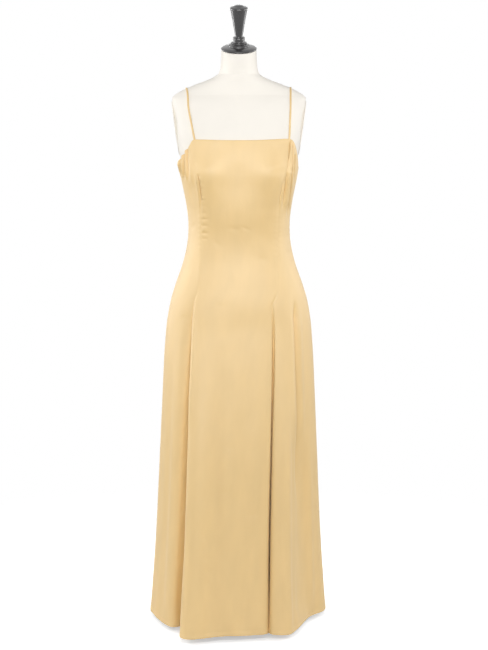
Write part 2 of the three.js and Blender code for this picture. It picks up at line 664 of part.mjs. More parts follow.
/** The pole under the torso and the round base that it stands in. */
function stand() {
  const group = new THREE.Group();
  const length = TORSO_BOTTOM_Z - BASE_THICKNESS - 2 * SEAM_GAP;
  const pole = new THREE.CylinderGeometry(POLE_RADIUS, POLE_RADIUS, length, POLE_SEGMENTS);
  const poleMesh = namedMesh(closed(pole.rotateX(Math.PI / 2)), paintedSteel, 'pole');
  poleMesh.position.z = BASE_THICKNESS + SEAM_GAP + length / 2;
  const { chamfer, arris } = BASE_EDGE;
  const profile = [
    { r: 0, z: 0 }, { r: BASE_RADIUS - arris, z: 0 }, { r: BASE_RADIUS, z: arris },
    { r: BASE_RADIUS, z: BASE_THICKNESS - chamfer }, { r: BASE_RADIUS - chamfer, z: BASE_THICKNESS },
    { r: 0, z: BASE_THICKNESS },
  ];
  group.add(turnedMesh(profile, paintedSteel, 'base'), poleMesh);
  return group;
}

// ---------------------------------------------------------------- the whole

const part = new THREE.Group();
part.add(...GORES.map((_, seamIndex) => goreMesh(seamIndex)));
part.add(strapMesh('strap_right', { x: -111, z: 1294 }, -139, { x: -104, z: 1213 }));
part.add(strapMesh('strap_left', { x: 129, z: 1296.5 }, 135, { x: 104, z: 1213 }));
part.add(torsoMesh(), armPlateMesh('arm_plate_right', -1), armPlateMesh('arm_plate_left', 1));
part.add(neckTop(), stand());

export default part;
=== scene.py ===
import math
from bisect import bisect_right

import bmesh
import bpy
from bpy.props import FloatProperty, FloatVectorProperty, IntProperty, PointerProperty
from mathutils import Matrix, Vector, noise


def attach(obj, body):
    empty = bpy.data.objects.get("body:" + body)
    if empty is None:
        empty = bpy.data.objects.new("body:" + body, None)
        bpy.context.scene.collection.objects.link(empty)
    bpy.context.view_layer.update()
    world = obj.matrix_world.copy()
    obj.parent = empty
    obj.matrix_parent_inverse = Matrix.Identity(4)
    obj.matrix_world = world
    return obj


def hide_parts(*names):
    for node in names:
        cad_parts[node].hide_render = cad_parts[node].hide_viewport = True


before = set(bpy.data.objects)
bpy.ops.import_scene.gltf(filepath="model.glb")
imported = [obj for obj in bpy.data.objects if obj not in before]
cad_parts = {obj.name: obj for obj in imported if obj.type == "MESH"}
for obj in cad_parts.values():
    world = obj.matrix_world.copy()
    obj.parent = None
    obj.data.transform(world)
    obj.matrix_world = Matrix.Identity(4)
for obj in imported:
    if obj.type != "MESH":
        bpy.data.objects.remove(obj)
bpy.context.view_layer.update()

# A satin maxi dress with thin straps, worn by a limbless dress form on a round stand.
# Sizes in the tables are millimetres in the frame of the model: +Z up, the front faces -Y, and left
# and right are the wearer's, so the wearer's right is at -X. Finished meshes are in metres.
#
# The cloth is drawn on one surface, Gore.point(), that all six gores share. Each gore is a grid laid
# on it, with its seams, puckers and creases moved out or in along the cloth's own direction.

bl_info = {
    "name": "Satin Maxi Dress on a Dress Form",
    "version": (1, 0, 0),
    "blender": (4, 5, 0),
    "location": "View3D > Sidebar > Dress",
    "description": "Makes the cloth, the form and the stage of a satin maxi dress",
    "category": "Object",
}

MM = 0.001

# ------------------------------------------------------------------ tables


def table(columns, *rows):
    """Rows of a table as dictionaries with named columns."""
    return [dict(zip(columns.split(), row)) for row in rows]



def sections(*rows):
    """A table of sections of a body."""
    return table("z half front back square", *rows)


# Sections of the form: half its width, its depth before and behind the Z axis, and how square it is.
FORM_SECTIONS = sections(
    (730, 164, 92, 106, 2.2), (745, 177, 101, 119, 2.2), (788, 183, 108, 130, 2.2),
    (853, 179, 110, 134, 2.2), (885, 172.5, 108, 130, 2.2), (917, 162.5, 104, 122, 2.2),
    (949, 150.5, 99, 112, 2.2), (981, 140.5, 94, 102, 2.25), (1012, 133.5, 90, 93, 2.3),
    (1044, 129.5, 87, 86, 2.3), (1076, 129, 87, 82, 2.3), (1108, 132, 90, 84, 2.3),
    (1139, 137, 95, 90, 2.4), (1171, 143.5, 101, 97, 2.5), (1202, 149.5, 107, 102, 2.6),
    (1233, 154, 108, 106, 2.6), (1265, 159, 105, 109, 2.7), (1296, 165, 99, 110, 2.8),
    (1327, 170, 91, 108, 2.8), (1358, 174.5, 80, 101, 2.7), (1382, 177, 69, 88, 2.6),
    (1396, 176.5, 61, 76, 2.5), (1406, 169, 55, 68, 2.4), (1420, 146, 52, 62, 2.3),
    (1435, 110.5, 51, 58, 2.2), (1449, 74, 52, 56, 2.1), (1463, 53, 51, 54, 2),
    (1482, 47.5, 49, 51, 2), (1523.5, 45.5, 47, 47, 2),
)

# Sections of the skirt before its folds, where it hangs free of the form.
SKIRT_SECTIONS = sections(
    (18, 208, 172, 168, 2.15), (300, 199, 150, 158, 2.15), (500, 197, 138, 152, 2.15),
    (711, 193, 122, 144, 2.2), (776, 190.5, 117, 140, 2.2), (808, 188.5, 115, 139.5, 2.2),
)

# The hem from above, by the turn of the same thread at the hips. A row with a seam starts a gore.
HEM_RING = table(
    "turn x y seam",
    (-38.5, -129, -112, "right_front"), (-38.1, -132.5, -116, ""), (-37.5, -139, -150, ""),
    (-37, -152, -196, ""), (-36, -152, -219, ""), (-34, -141, -234, ""), (-30, -122, -239, ""),
    (-24, -98, -232, ""), (-17, -70, -223, ""), (-8, -35, -214, ""), (2, 5, -212, ""),
    (12, 40, -206, ""), (20, 62.5, -202, ""), (24.5, 75.4, -191, ""), (25.5, 77, -160, ""),
    (26.1, 77.6, -139, ""), (26.5, 78.6, -136, "left_front"), (26.9, 79.6, -139, ""),
    (27.5, 79.6, -160, ""), (28.5, 78.4, -189, ""), (31, 87, -201, ""), (35, 106, -206, ""),
    (39, 128, -203, ""), (43, 144, -180, ""), (47, 166, -126, ""), (51, 183, -76, ""),
    (60, 203, -45, ""), (72, 226, -21, ""), (82, 236, 8, ""), (92, 232, 42, "left_side"),
    (101, 216, 74, ""), (110, 202, 102, ""), (120, 192, 132, ""), (130, 172, 164, ""),
    (139, 146, 185, ""), (145.5, 122, 185, ""), (148.2, 106, 166, ""), (149, 101.5, 137, ""),
    (149.6, 100, 111, ""), (150, 97, 108, "left_back"), (150.4, 94, 111, ""),
    (151, 91.5, 137, ""), (151.8, 87, 167, ""), (155, 69, 190, ""), (163, 43, 201, ""),
    (172, 17, 194, ""), (180, -7, 187, ""), (188, -32, 195, ""), (197, -59, 206, ""),
    (205, -84, 197, ""), (208.2, -98, 172, ""), (209, -101.5, 140, ""), (209.6, -103, 114, ""),
    (210, -106, 111, "right_back"), (210.4, -109, 114, ""), (211, -111, 140, ""),
    (212, -116, 167, ""), (216, -134, 185, ""), (224, -160, 180, ""), (234, -187, 153, ""),
    (245, -208, 117, ""), (257, -227, 74, ""), (268, -241, 30, "right_side"), (276, -241, -8, ""),
    (288, -225, -60, ""), (298, -208, -100, ""), (306, -192, -127, ""), (313, -176, -144, ""),
    (317.5, -161, -142, ""), (320, -145, -128, ""), (321.1, -133, -112.5, ""),
)

# The gores in the order of the hem ring, each from its own seam to the next.
GORES = (
    "front_centre", "front_side_left", "back_side_left", "back_centre", "back_side_right",
    "front_side_right",
)

# Where each seam runs above the folds: x by height. The side seams keep their turn.
SEAM_LINES = {
    "right_front": table(
        "z x",
        (870, -117), (897, -109), (925, -102), (966, -98), (1034, -95.5), (1086, -96), (1147, -99),
        (1186, -104), (1226, -111.5), (1292, -116),
    ),
    "left_front": table(
        "z x",
        (856, 89), (885, 95), (915, 100), (975, 101), (1060, 101.5), (1111, 103), (1162, 110),
        (1203, 122.5), (1239, 128), (1292, 132),
    ),
    "left_back": table("z x", (880, 92), (981, 82), (1060, 78), (1139, 88), (1215, 104)),
    "right_back": table("z x", (880, -92), (981, -82), (1060, -78), (1139, -88), (1215, -104)),
}

# Height of the top edge by turn: straight in front, cut away under the arms, level behind.
TOP_EDGE = table(
    "turn z",
    (-180, 1208), (-120, 1211), (-92, 1217), (-80, 1224), (-68, 1240), (-57, 1252), (-48, 1266),
    (-42.5, 1277), (-38.5, 1288), (-35, 1291), (0, 1289), (44, 1293), (49, 1289), (58, 1270),
    (65, 1252), (80, 1223), (92, 1217), (120, 1211), (180, 1208),
)


def creases(*rows):
    """A table of creases."""
    return table("x1 z1 x2 z2 width height rise fade bow", *rows)


# Creases, seen square on from the front or the back of their gore: where each starts and
# ends, half its width, how far it stands out (or, below zero, sinks in), how much of its length it
# takes to rise at its start and to fade at its end, and how far its middle bows sideways.
CREASES = {
    "front_centre": creases(
        (-99.5, 1160, -106, 890, 11, 1.8, 0.3, 0.25, -7),
        # beside the left princess seam, drawn by the pulled side
        (121, 1262, 123, 1216, 4, -1.0, 0.4, 0.4, 0), (110, 1205, 97, 1128, 6, 1.2, 0.4, 0.5, 0),
        # slack under the corners of the neckline
        (-58, 1286, -44, 1240, 14, -1.2, 0.4, 0.6, 0), (97, 1286, 88, 1244, 12, -1.1, 0.4, 0.6, 0),
        # the centre falls away beside the dart of the right seam
        (-104.5, 1208, -95.5, 1120, 2, -3, 0.15, 0.5, 0),
        # the break below the left of the bust
        (72, 1221, 130, 1227, 9, 1.0, 0.4, 0.4, 0), (70, 1206, 130, 1212, 7, -0.6, 0.4, 0.4, 0),
        # short tucks that the right seam pulls into the waist
        (-94, 1087, -74, 1088, 2.2, -1.2, 0.1, 0.8, 0), (-94, 1071, -75, 1070, 2.4, -1.4, 0.1, 0.8, 0),
        (-94, 1051, -74, 1051, 2.4, -1.5, 0.1, 0.8, 0), (-94, 1037, -76, 1036, 2.2, -1.2, 0.1, 0.8, 0),
        (-94, 1061, -80, 1060, 3, 0.7, 0.1, 0.8, 0), (-93, 1102, -82, 1104, 2.6, -0.9, 0.15, 0.6, 0),
        # from the bust towards the waist
        (-72, 1180, -60, 1105, 16, -0.8, 0.5, 0.6, 6), (66, 1180, 52, 1110, 18, -0.7, 0.5, 0.6, -6),
        (0, 1250, 0, 1150, 30, -1.4, 0.5, 0.6, 0),
        (0, 1073, 38, 1055, 4.5, -0.7, 0.4, 0.6, 1), (-36, 1068, 12, 1052, 7, -0.6, 0.5, 0.5, -3),
        (-66, 1040, -40, 1010, 7, -0.7, 0.5, 0.6, 3), (48, 1000, 84, 972, 8, -0.8, 0.5, 0.6, 4),
        # long soft folds down the skirt
        (-113, 872, -128, 540, 5, 2.4, 0.2, 0.3, 0),
        (-84, 860, -104, 20, 17, 3.4, 0.5, 0.05, 4), (-52, 820, -72, 20, 15, -4.2, 0.6, 0.05, -5),
        (-20, 850, -30, 20, 22, 2.2, 0.6, 0.05, 3), (14, 800, 12, 20, 20, -2.6, 0.6, 0.05, 4),
        (48, 840, 44, 20, 14, 2.4, 0.6, 0.05, -3), (66, 760, 64, 20, 9, -1.6, 0.6, 0.1, 2),
        # where the cloth was folded and has not hung out yet
        (-92, 290, -76, 252, 4, -1.5, 0.4, 0.4, 2), (-76, 262, -92, 240, 4, -1.4, 0.4, 0.4, -2),
        (-94, 226, -70, 212, 3.5, -1.3, 0.4, 0.4, 2), (-90, 196, -72, 176, 5, -1.6, 0.4, 0.4, -2),
        (-82, 176, -78, 104, 8, -1.8, 0.4, 0.5, 3), (-100, 262, -86, 262, 3, 1, 0.4, 0.4, 0),
        (10, 326, 58, 333, 5, -0.7, 0.4, 0.4, 3),
        (-34, 508, -10, 500, 5, -0.8, 0.5, 0.5, 2), (-48, 380, -20, 396, 5, -0.8, 0.5, 0.5, 2),
        (30, 190, 50, 214, 5, -0.9, 0.5, 0.5, 2), (-60, 866, -37, 867, 2.8, -0.7, 0.3, 0.5, 0),
    ),
    "front_side_left": creases(
        # pulled folds that run down from the underarm beside the seam
        (134, 1292, 133, 1202, 7, 4.6, 0.2, 0.2, 0), (133, 1216, 121, 1098, 8, 5.2, 0.1, 0.4, 0),
        (127.5, 1290, 126, 1203, 1.5, -4, 0.2, 0.15, 0),
        (126, 1214, 111.5, 1110, 2.2, -6.8, 0.15, 0.5, 0),
        (137.5, 1288, 135.6, 1203, 1.6, -5.5, 0.2, 0.15, 0),
        (135.8, 1218, 125, 1080, 2.2, -8, 0.1, 0.5, 0),
        (144, 1256, 143, 1176, 1.8, -4, 0.1, 0.5, 0),
        # the soft fold beside the deep one, and the swing of the skirt behind it
        (136, 880, 150, 460, 8, 4.6, 0.3, 0.3, 2), (145, 884, 161, 330, 4, -7.5, 0.1, 0.25, 1),
        (155, 884, 174, 400, 7, 4.6, 0.2, 0.4, 2), (126, 640, 130, 20, 9, 3.6, 0.3, 0.05, 0),
        (140, 600, 146, 20, 9, -3.4, 0.3, 0.05, 0),
        (158, 600, 165, 30, 15, -8.5, 0.4, 0.1, 2), (182, 560, 192, 40, 8, 3, 0.4, 0.1, 0),
        (150, 600, 150, 20, 12, 2.2, 0.4, 0.1, 0),
        (108, 760, 112, 20, 9, -2, 0.6, 0.1, 2), (178, 800, 196, 20, 9, 3, 0.5, 0.1, 2),
        (183, 322, 180, 290, 3.5, -1.5, 0.4, 0.4, 1), (186, 250, 191, 226, 3.5, -1.4, 0.4, 0.4, 1),
        (120, 470, 138, 462, 4.5, -0.9, 0.5, 0.5, 1), (126, 1010, 137, 985, 6, -0.9, 0.5, 0.5, 2),
    ),
    "front_side_right": creases(
        # the cloth crumples under the arm, where the form is narrower than the dress
        (-152.5, 1268, -152, 1188, 1.9, 4.5, 0.05, 0.35, 0),
        (-148.5, 1268, -148.5, 1190, 1.5, -2.6, 0.05, 0.35, 0),
        (-144.5, 1270, -145, 1184, 2, 5.5, 0.05, 0.35, -1),
        (-140, 1270, -140, 1186, 1.7, -2.8, 0.05, 0.35, 0),
        (-135.5, 1272, -134.5, 1180, 2.1, 5, 0.05, 0.35, 0),
        (-131, 1272, -129, 1178, 1.8, -2.8, 0.05, 0.4, 1),
        (-125, 1274, -118, 1160, 4, 3.5, 0.2, 0.6, 2),
        # the side stands off at the seam from the ribs to the hip
        (-99.5, 1160, -106, 890, 11, 1.8, 0.3, 0.25, -7),
        (-108.5, 1208, -101, 1120, 3, 1.6, 0.2, 0.5, 0),
        (-200, 1226, -134, 1230, 9, 6, 0.2, 0.6, 0), (-200, 1207, -136, 1203, 6, -2.6, 0.2, 0.6, 0),
        (-154, 831, -124, 829, 2.8, -1.2, 0.3, 0.5, 0),
        (-126, 1190, -112, 1120, 6, -1.4, 0.4, 0.6, 2), (-112, 1080, -124, 1050, 6, -0.9, 0.5, 0.5, 2),
        # beside the released pleat
        (-128, 868, -158, 20, 8, -3, 0.5, 0.1, 0), (-150, 860, -186, 20, 13, 3.2, 0.5, 0.1, 3),
        (-172, 820, -206, 20, 9, -2.6, 0.5, 0.1, -3), (-138, 470, -152, 452, 4, -1.2, 0.4, 0.4, 2),
        (-142, 332, -154, 316, 4, -1.4, 0.4, 0.4, 2), (-150, 208, -160, 190, 4, -1.4, 0.4, 0.4, 2),
        (-136, 540, -146, 524, 4, -1.1, 0.4, 0.4, 2),
    ),
    "back_centre": creases(
        # slack across the small of the back
        (-70, 1062, 30, 1050, 8, -2, 0.4, 0.5, -6), (-36, 1034, 72, 1022, 9, 1.8, 0.4, 0.5, 5),
        (-60, 1012, 48, 1000, 8, -1.6, 0.4, 0.5, -5), (20, 1088, 74, 1098, 7, -1.2, 0.4, 0.5, 4),
        (-84, 1190, -40, 1112, 9, -1.2, 0.4, 0.6, 5), (84, 1186, 46, 1110, 9, -1.1, 0.4, 0.6, -5),
        (-58, 840, -62, 20, 15, 3.4, 0.5, 0.05, 4), (-30, 820, -36, 20, 14, -3.4, 0.6, 0.05, -3),
        (-4, 800, -8, 20, 17, -3.2, 0.6, 0.05, 3), (34, 830, 42, 20, 15, 3.2, 0.5, 0.05, 3),
        (62, 760, 64, 20, 11, -2.4, 0.6, 0.05, -3), (-14, 360, 26, 352, 5, -1.2, 0.4, 0.4, 3),
        (-54, 236, -34, 214, 4, -1.3, 0.4, 0.4, 2), (48, 300, 60, 270, 4, -1.2, 0.4, 0.4, 2),
    ),
    "back_side_left": creases(
        (128, 1196, 108, 1120, 5, -1.6, 0.3, 0.6, 3), (140, 1180, 124, 1100, 5, 1.2, 0.3, 0.6, 3),
        (84, 1050, 126, 1036, 7, -1.6, 0.4, 0.5, -4), (88, 1022, 124, 1012, 7, 1.2, 0.4, 0.5, 3),
        (112, 850, 130, 20, 12, -3.2, 0.5, 0.1, 2), (142, 850, 160, 20, 13, 3.2, 0.5, 0.1, -3),
        (166, 820, 192, 20, 10, -2.6, 0.5, 0.1, 3), (150, 300, 166, 284, 4, -1.3, 0.4, 0.4, 2),
    ),
    "back_side_right": creases(
        (-200, 1226, -134, 1230, 9, 6, 0.2, 0.6, 0), (-200, 1207, -136, 1203, 6, -2.6, 0.2, 0.6, 0),
        (-126, 1198, -108, 1116, 5, -1.5, 0.3, 0.6, -3), (-141, 1178, -123, 1096, 5, 1.2, 0.3, 0.6, -3),
        (-86, 1056, -126, 1040, 7, -1.5, 0.4, 0.5, 4), (-90, 1020, -122, 1014, 7, 1.1, 0.4, 0.5, -3),
        (-118, 850, -140, 20, 13, -3, 0.5, 0.1, -2), (-146, 850, -176, 20, 13, 3.2, 0.5, 0.1, 3),
        (-168, 820, -206, 20, 11, -3, 0.5, 0.1, -3), (-160, 420, -178, 402, 4, -1.3, 0.4, 0.4, 2),
    ),
}

# How far each seam sinks into the cloth, by height: pressed nearly flat in places, and drawn in where
# the cloth pulls on it.
SEAM_DEPTHS = {
    "right_front": table(
        "z depth",
        (905, 0.15), (1034, 0.2), (1090, 0.4), (1125, 1.5), (1150, 3.4), (1194, 4), (1206, 0.7),
        (1240, 0.25), (1292, 0.4),
    ),
    "left_front": table(
        "z depth",
        (880, 0.2), (1060, 0.1), (1100, 0.3), (1125, 1.6), (1150, 2.6), (1200, 1.5), (1225, 0.9),
        (1250, 0.5), (1292, 0.8),
    ),
    "left_back": table("z depth", (880, 0.5), (980, 0.6), (1060, 0.9), (1150, 0.5), (1215, 0.7)),
    "right_back": table("z depth", (880, 0.4), (990, 0.7), (1080, 0.8), (1160, 0.6), (1215, 0.5)),
    "left_side": table("z depth", (860, 0.2), (960, 0.5), (1060, 0.7), (1140, 0.4), (1225, 0.8)),
    "right_side": table("z depth", (860, 0.2), (950, 0.5), (1070, 0.6), (1150, 0.5), (1225, 0.9)),
}

# Where a seam draws the cloth into small puckers: on the gore named, along the seam named.
PUCKERS = table(
    "gore seam z_low z_high height spacing",
    ("front_centre", "right_front", 1105, 1200, 0.3, 15),
    ("front_side_right", "right_front", 1000, 1120, 0.2, 14),
    ("front_centre", "left_front", 960, 1110, 0.15, 15),
    ("front_side_left", "left_front", 1000, 1120, 0.15, 13),
    ("back_centre", "left_back", 990, 1130, 0.3, 14),
    ("back_centre", "right_back", 1000, 1150, 0.3, 13),
    ("back_side_left", "left_side", 960, 1080, 0.2, 15),
    ("back_side_right", "right_back", 980, 1100, 0.25, 14),
    ("front_side_left", "left_side", 1010, 1130, 0.2, 15),
    ("front_side_right", "right_side", 1000, 1100, 0.2, 14),
)

# The turned wooden cap and its handle: radius by height over the neck's top. A row marked sharp keeps
# a crisp turned edge, and the rest are rounded.
CAP_PROFILE = table(
    "r z sharp",
    (0, 0, 1), (45.2, 0, 1), (46.8, 1.5, 0), (46.2, 3.6, 0), (40, 6.8, 0), (30.5, 9, 1), (28, 9.6, 0),
    (27.6, 11.4, 0), (26.2, 12.6, 0), (23, 13.2, 1), (22, 15.2, 1), (0, 15.2, 1),
)
HANDLE_PROFILE = table(
    "r z sharp",
    (0, 15.6, 1), (20.2, 15.6, 1), (21, 17, 0), (20, 18.6, 0), (16.6, 19.8, 1), (15.9, 21.2, 0),
    (16, 25.5, 0), (15.8, 30, 0), (14.4, 32, 0), (11.4, 32.8, 1), (10.7, 34.6, 0), (12, 45, 0),
    (15, 63, 0), (18.2, 81, 0), (22.6, 102.4, 0), (23.5, 105.6, 0), (22.4, 108.4, 0), (16.8, 110.8, 0),
    (13.2, 111.9, 0), (10.4, 113.4, 0), (5.6, 114.7, 0), (0, 115, 0),
)

# ------------------------------------------------------------------ sizes

HEM_Z = 18
NECKLINE_Z = 1292
WAIST_Z = 1045
BODICE_Z = 990
FOLD_TOP_Z = 905
FOLD_GROWTH = 1.1
EASE = 4
SLACK = {"z": 1095, "depth": 13, "reach": 75}
BUST = {
    "z": 1204, "apart": 84, "fullness": 9, "across": 36, "up": 34, "cloth_down": 100, "cloth_span": 15,
    "flatness": 0.25, "flat_reach": 60,
}
NECK = {"top_z": 1523.5, "tilt": math.radians(19), "lean_from_z": 1440, "forward": 9}
ARM_CUT = {"top_z": 1389, "top_x": 173.2, "bottom_z": 1265, "bottom_x": 156}
ARM_PLATE = {"top_z": 1392, "bottom_z": 1252, "half_depth": 46, "thickness": 2.4}
STRAPS = {
    "strap_right": {"front": (-111, 1279), "crest_x": -139, "back": (-104, 1196)},
    "strap_left": {"front": (129, 1281), "crest_x": 135, "back": (104, 1196)},
}
STRAP_CENTRE_Z = 1375
STRAP_SLANT = 0.3
STRAP = {"thickness": 2.4, "wall": 0.5, "sides": 14, "points": 150, "off_form": 0.5}
POLE_RADIUS = 14
BASE = {"radius": 145, "thickness": 12}
GAP = 0.3


class Track:
    """One column of a table, read between its rows along a smooth curve that never overshoots."""

    def __init__(self, rows, key, column):
        self.keys = [row[key] for row in rows]
        self.values = [row[column] for row in rows]
        pairs = zip(self.keys, self.keys[1:], self.values, self.values[1:])
        slopes = [(v2 - v1) / (k2 - k1) for k1, k2, v1, v2 in pairs]
        middle = [0 if a * b <= 0 else 2 * a * b / (a + b) for a, b in zip(slopes, slopes[1:])]
        self.tangents = [slopes[0], *middle, slopes[-1]]

    def __call__(self, at):
        if at <= self.keys[0]:
            return self.values[0]
        if at >= self.keys[-1]:
            return self.values[-1]
        i = bisect_right(self.keys, at) - 1
        span = self.keys[i + 1] - self.keys[i]
        t = (at - self.keys[i]) / span
        rise = t * t * (3 - 2 * t)
        leave = (t**3 - 2 * t * t + t) * span * self.tangents[i]
        arrive = (t**3 - t * t) * span * self.tangents[i + 1]
        return (1 - rise) * self.values[i] + rise * self.values[i + 1] + leave + arrive


def smooth_step(low, high, at):
    """0 below low, 1 above high, and smooth between."""
    t = min(1, max(0, (at - low) / (high - low)))
    return t * t * (3 - 2 * t)


def bell(distance, half_width):
    """1 at no distance, falling smoothly away."""
    return math.exp(-((distance / half_width) ** 2))


def bust_swell(x, z, down=BUST["up"]):
    """How far the bust stands out of the plain section. Below it cloth spans further than the form."""
    reach = BUST["up"] if z > BUST["z"] else down
    return BUST["fullness"] * bell(abs(x) - BUST["apart"], BUST["across"]) * bell(z - BUST["z"], reach)


class Sections:
    """A body given by sections at heights, each a squarish oval."""

    def __init__(self, rows, bust_down=BUST["up"], span=0):
        self.bust_down, self.span = bust_down, span
        for column in ("half", "front", "back", "square"):
            setattr(self, column, Track(rows, "z", column))

    def reach(self, side, z):
        """How far a side stands out at a height. Cloth spans the small hollows between heights."""
        read = getattr(self, side)
        return (read(z - self.span) + 2 * read(z) + read(z + self.span)) / 4

    def point(self, turn, z):
        """A point at an angle in degrees from the centre front towards the wearer's left."""
        across, ahead = math.sin(math.radians(turn)), math.cos(math.radians(turn))
        power = 2 / self.square(z)
        x = math.copysign(self.reach("half", z) * abs(across) ** power, across)
        if ahead > 0:
            y = -self.reach("front", z) * ahead**power - bust_swell(x, z, self.bust_down)
            return Vector((x, y, z))
        return Vector((x, self.reach("back", z) * abs(ahead) ** power, z))

    def turn_of_x(self, x, z, behind):
        """The turn at which the section has this x."""
        share = min(1, abs(x) / self.reach("half", z))
        turn = math.copysign(math.degrees(math.asin(share ** (self.square(z) / 2))), x)
        return 180 - turn if behind else turn

    def holds(self, x, y, z):
        """Whether a point is inside the body."""
        depth = self.front(z) + bust_swell(x, z) if y < 0 else self.back(z)
        square = self.square(z)
        return (abs(x) / self.half(z)) ** square + (abs(y) / depth) ** square < 1


FORM = Sections(FORM_SECTIONS)
CLOTH_SECTIONS = SKIRT_SECTIONS + [
    {
        **row, "half": row["half"] + EASE, "back": row["back"] + EASE,
        "front": row["front"] + EASE + SLACK["depth"] * bell(row["z"] - SLACK["z"], SLACK["reach"]),
        "square": row["square"] + BUST["flatness"] * bell(row["z"] - BUST["z"], BUST["flat_reach"]),
    }
    for row in FORM_SECTIONS if 840 < row["z"] < 1340
]
CLOTH = Sections(CLOTH_SECTIONS, BUST["cloth_down"], BUST["cloth_span"])

# ------------------------------------------------------------------ the surface of the cloth

KNOTS = len(HEM_RING)
SEAM_KNOTS = [(knot, row["seam"]) for knot, row in enumerate(HEM_RING) if row["seam"]]
TURN_OF_KNOT = Track(
    [{"knot": knot, "turn": row["turn"]} for knot, row in enumerate(HEM_RING)]
    + [{"knot": KNOTS, "turn": HEM_RING[0]["turn"] + 360}],
    "knot", "turn",
)
SEAM_X = {name: Track(rows, "z", "x") for name, rows in SEAM_LINES.items()}
SEAM_DEPTH = {name: Track(rows, "z", "depth") for name, rows in SEAM_DEPTHS.items()}
TOP_EDGE_Z = Track(TOP_EDGE, "turn", "z")


def hem_point(knot):
    """The hem at a knot or between two, on a closed curve through the ring's points."""
    first = math.floor(knot)
    t = knot - first
    ring = [HEM_RING[(first + step) % KNOTS] for step in (-1, 0, 1, 2)]
    p0, p1, p2, p3 = (Vector((row["x"], row["y"], 0)) for row in ring)
    d0, d1, d2 = (math.sqrt((b - a).length) for a, b in ((p0, p1), (p1, p2), (p2, p3)))
    leave = ((p1 - p0) / d0 - (p2 - p0) / (d0 + d1) + (p2 - p1) / d1) * d1
    arrive = ((p2 - p1) / d1 - (p3 - p1) / (d1 + d2) + (p3 - p2) / d2) * d1
    rise = t * t * (3 - 2 * t)
    return p1 * (1 - rise) + p2 * rise + leave * (t**3 - 2 * t * t + t) + arrive * (t**3 - t * t)


class Gore:
    """A panel of the dress between two seams, with the threads that it holds."""

    def __init__(self, index):
        self.name = GORES[index]
        self.start, self.start_seam = SEAM_KNOTS[index]
        self.end, self.end_seam = (SEAM_KNOTS + [(KNOTS, SEAM_KNOTS[0][1])])[index + 1]

    def seam_turn(self, name, knot, z):
        """The turn of a seam at a height: on its line above the folds, and constant below."""
        hip_turn = TURN_OF_KNOT(knot)
        if name not in SEAM_LINES or z <= SEAM_LINES[name][0]["z"]:
            return hip_turn
        turn = CLOTH.turn_of_x(SEAM_X[name](z), z, name.endswith("back"))
        turn += 360 if turn < hip_turn - 180 else 0
        settle = smooth_step(0, 30, z - SEAM_LINES[name][0]["z"])
        return hip_turn + (turn - hip_turn) * settle

    def turn(self, knot, z):
        """The turn of a thread at a height. Below the hips threads crowd at the seams."""
        start_hip, end_hip = TURN_OF_KNOT(self.start), TURN_OF_KNOT(self.end)
        crowded = (TURN_OF_KNOT(knot) - start_hip) / (end_hip - start_hip)
        even = (knot - self.start) / (self.end - self.start)
        share = crowded + (even - crowded) * smooth_step(870, 1010, z)
        start = self.seam_turn(self.start_seam, self.start, z)
        return start + (self.seam_turn(self.end_seam, self.end, z) - start) * share

    def height(self, knot, level):
        """The height of a row on a thread: above the waist rows are drawn in to the top edge."""
        if level <= WAIST_Z:
            return level
        turn = self.turn(knot, NECKLINE_Z)
        edge = TOP_EDGE_Z(turn - 360 if turn > 180 else turn)
        return WAIST_Z + (level - WAIST_Z) * (edge - WAIST_Z) / (NECKLINE_Z - WAIST_Z)

    def point(self, knot, z):
        """A point in the middle of the cloth, by its thread and its height."""
        place = CLOTH.point(self.turn(knot, z), z)
        if z < FOLD_TOP_Z:
            share = ((FOLD_TOP_Z - z) / (FOLD_TOP_Z - HEM_Z)) ** FOLD_GROWTH
            plain = CLOTH.point(TURN_OF_KNOT(knot), HEM_Z)
            place += (hem_point(knot) - plain) * share
            place.z = z
        return place

    def threads(self, count):
        """The gore's threads as knots, closer together towards its two seams."""
        steps = 24
        knots = [self.start + k / steps for k in range((self.end - self.start) * steps + 1)]
        lengths = [0]
        for a, b in zip(knots, knots[1:]):
            lengths.append(lengths[-1] + (hem_point(b) - hem_point(a)).length)
        crowding = 0.6
        made = []
        for k in range(count + 1):
            even = k / count
            share = even - crowding * math.sin(2 * math.pi * even) / (2 * math.pi)
            at = share * lengths[-1]
            i = min(bisect_right(lengths, at) - 1, len(knots) - 2)
            made.append(knots[i] + (at - lengths[i]) / (lengths[i + 1] - lengths[i]) / steps)
        return made


def row_levels(skirt_spacing, bodice_spacing):
    """Heights of the cloth's rows: closer on the bodice, at the hem's turning and at the top edge."""
    levels = [HEM_Z + rise for rise in (0, 1, 3, 6, 9, 11, 12.5, 14, 17)]
    top = [NECKLINE_Z - drop for drop in (6, 3.5, 1.8, 0.7, 0)]
    for end, spacing in ((BODICE_Z, skirt_spacing), (NECKLINE_Z - 9, bodice_spacing)):
        start = levels[-1]
        count = round((end - start) / spacing)
        levels += [start + (end - start) * k / count for k in range(1, count + 1)]
    return levels + top


# ------------------------------------------------------------------ relief of the cloth


def crease_height(crease, x, z):
    """How far one crease moves the cloth at a place, seen square on."""
    along_x, along_z = crease["x2"] - crease["x1"], crease["z2"] - crease["z1"]
    length = math.hypot(along_x, along_z)
    t = ((x - crease["x1"]) * along_x + (z - crease["z1"]) * along_z) / length**2
    if not -0.05 < t < 1.05:
        return 0
    across = ((x - crease["x1"]) * along_z - (z - crease["z1"]) * along_x) / length
    across -= crease["bow"] * math.sin(math.pi * min(1, max(0, t)))
    if abs(across) > 3 * crease["width"]:
        return 0
    ends = smooth_step(0, crease["rise"], t) * (1 - smooth_step(1 - crease["fade"], 1.02, t))
    return crease["height"] * bell(across, crease["width"]) * ends


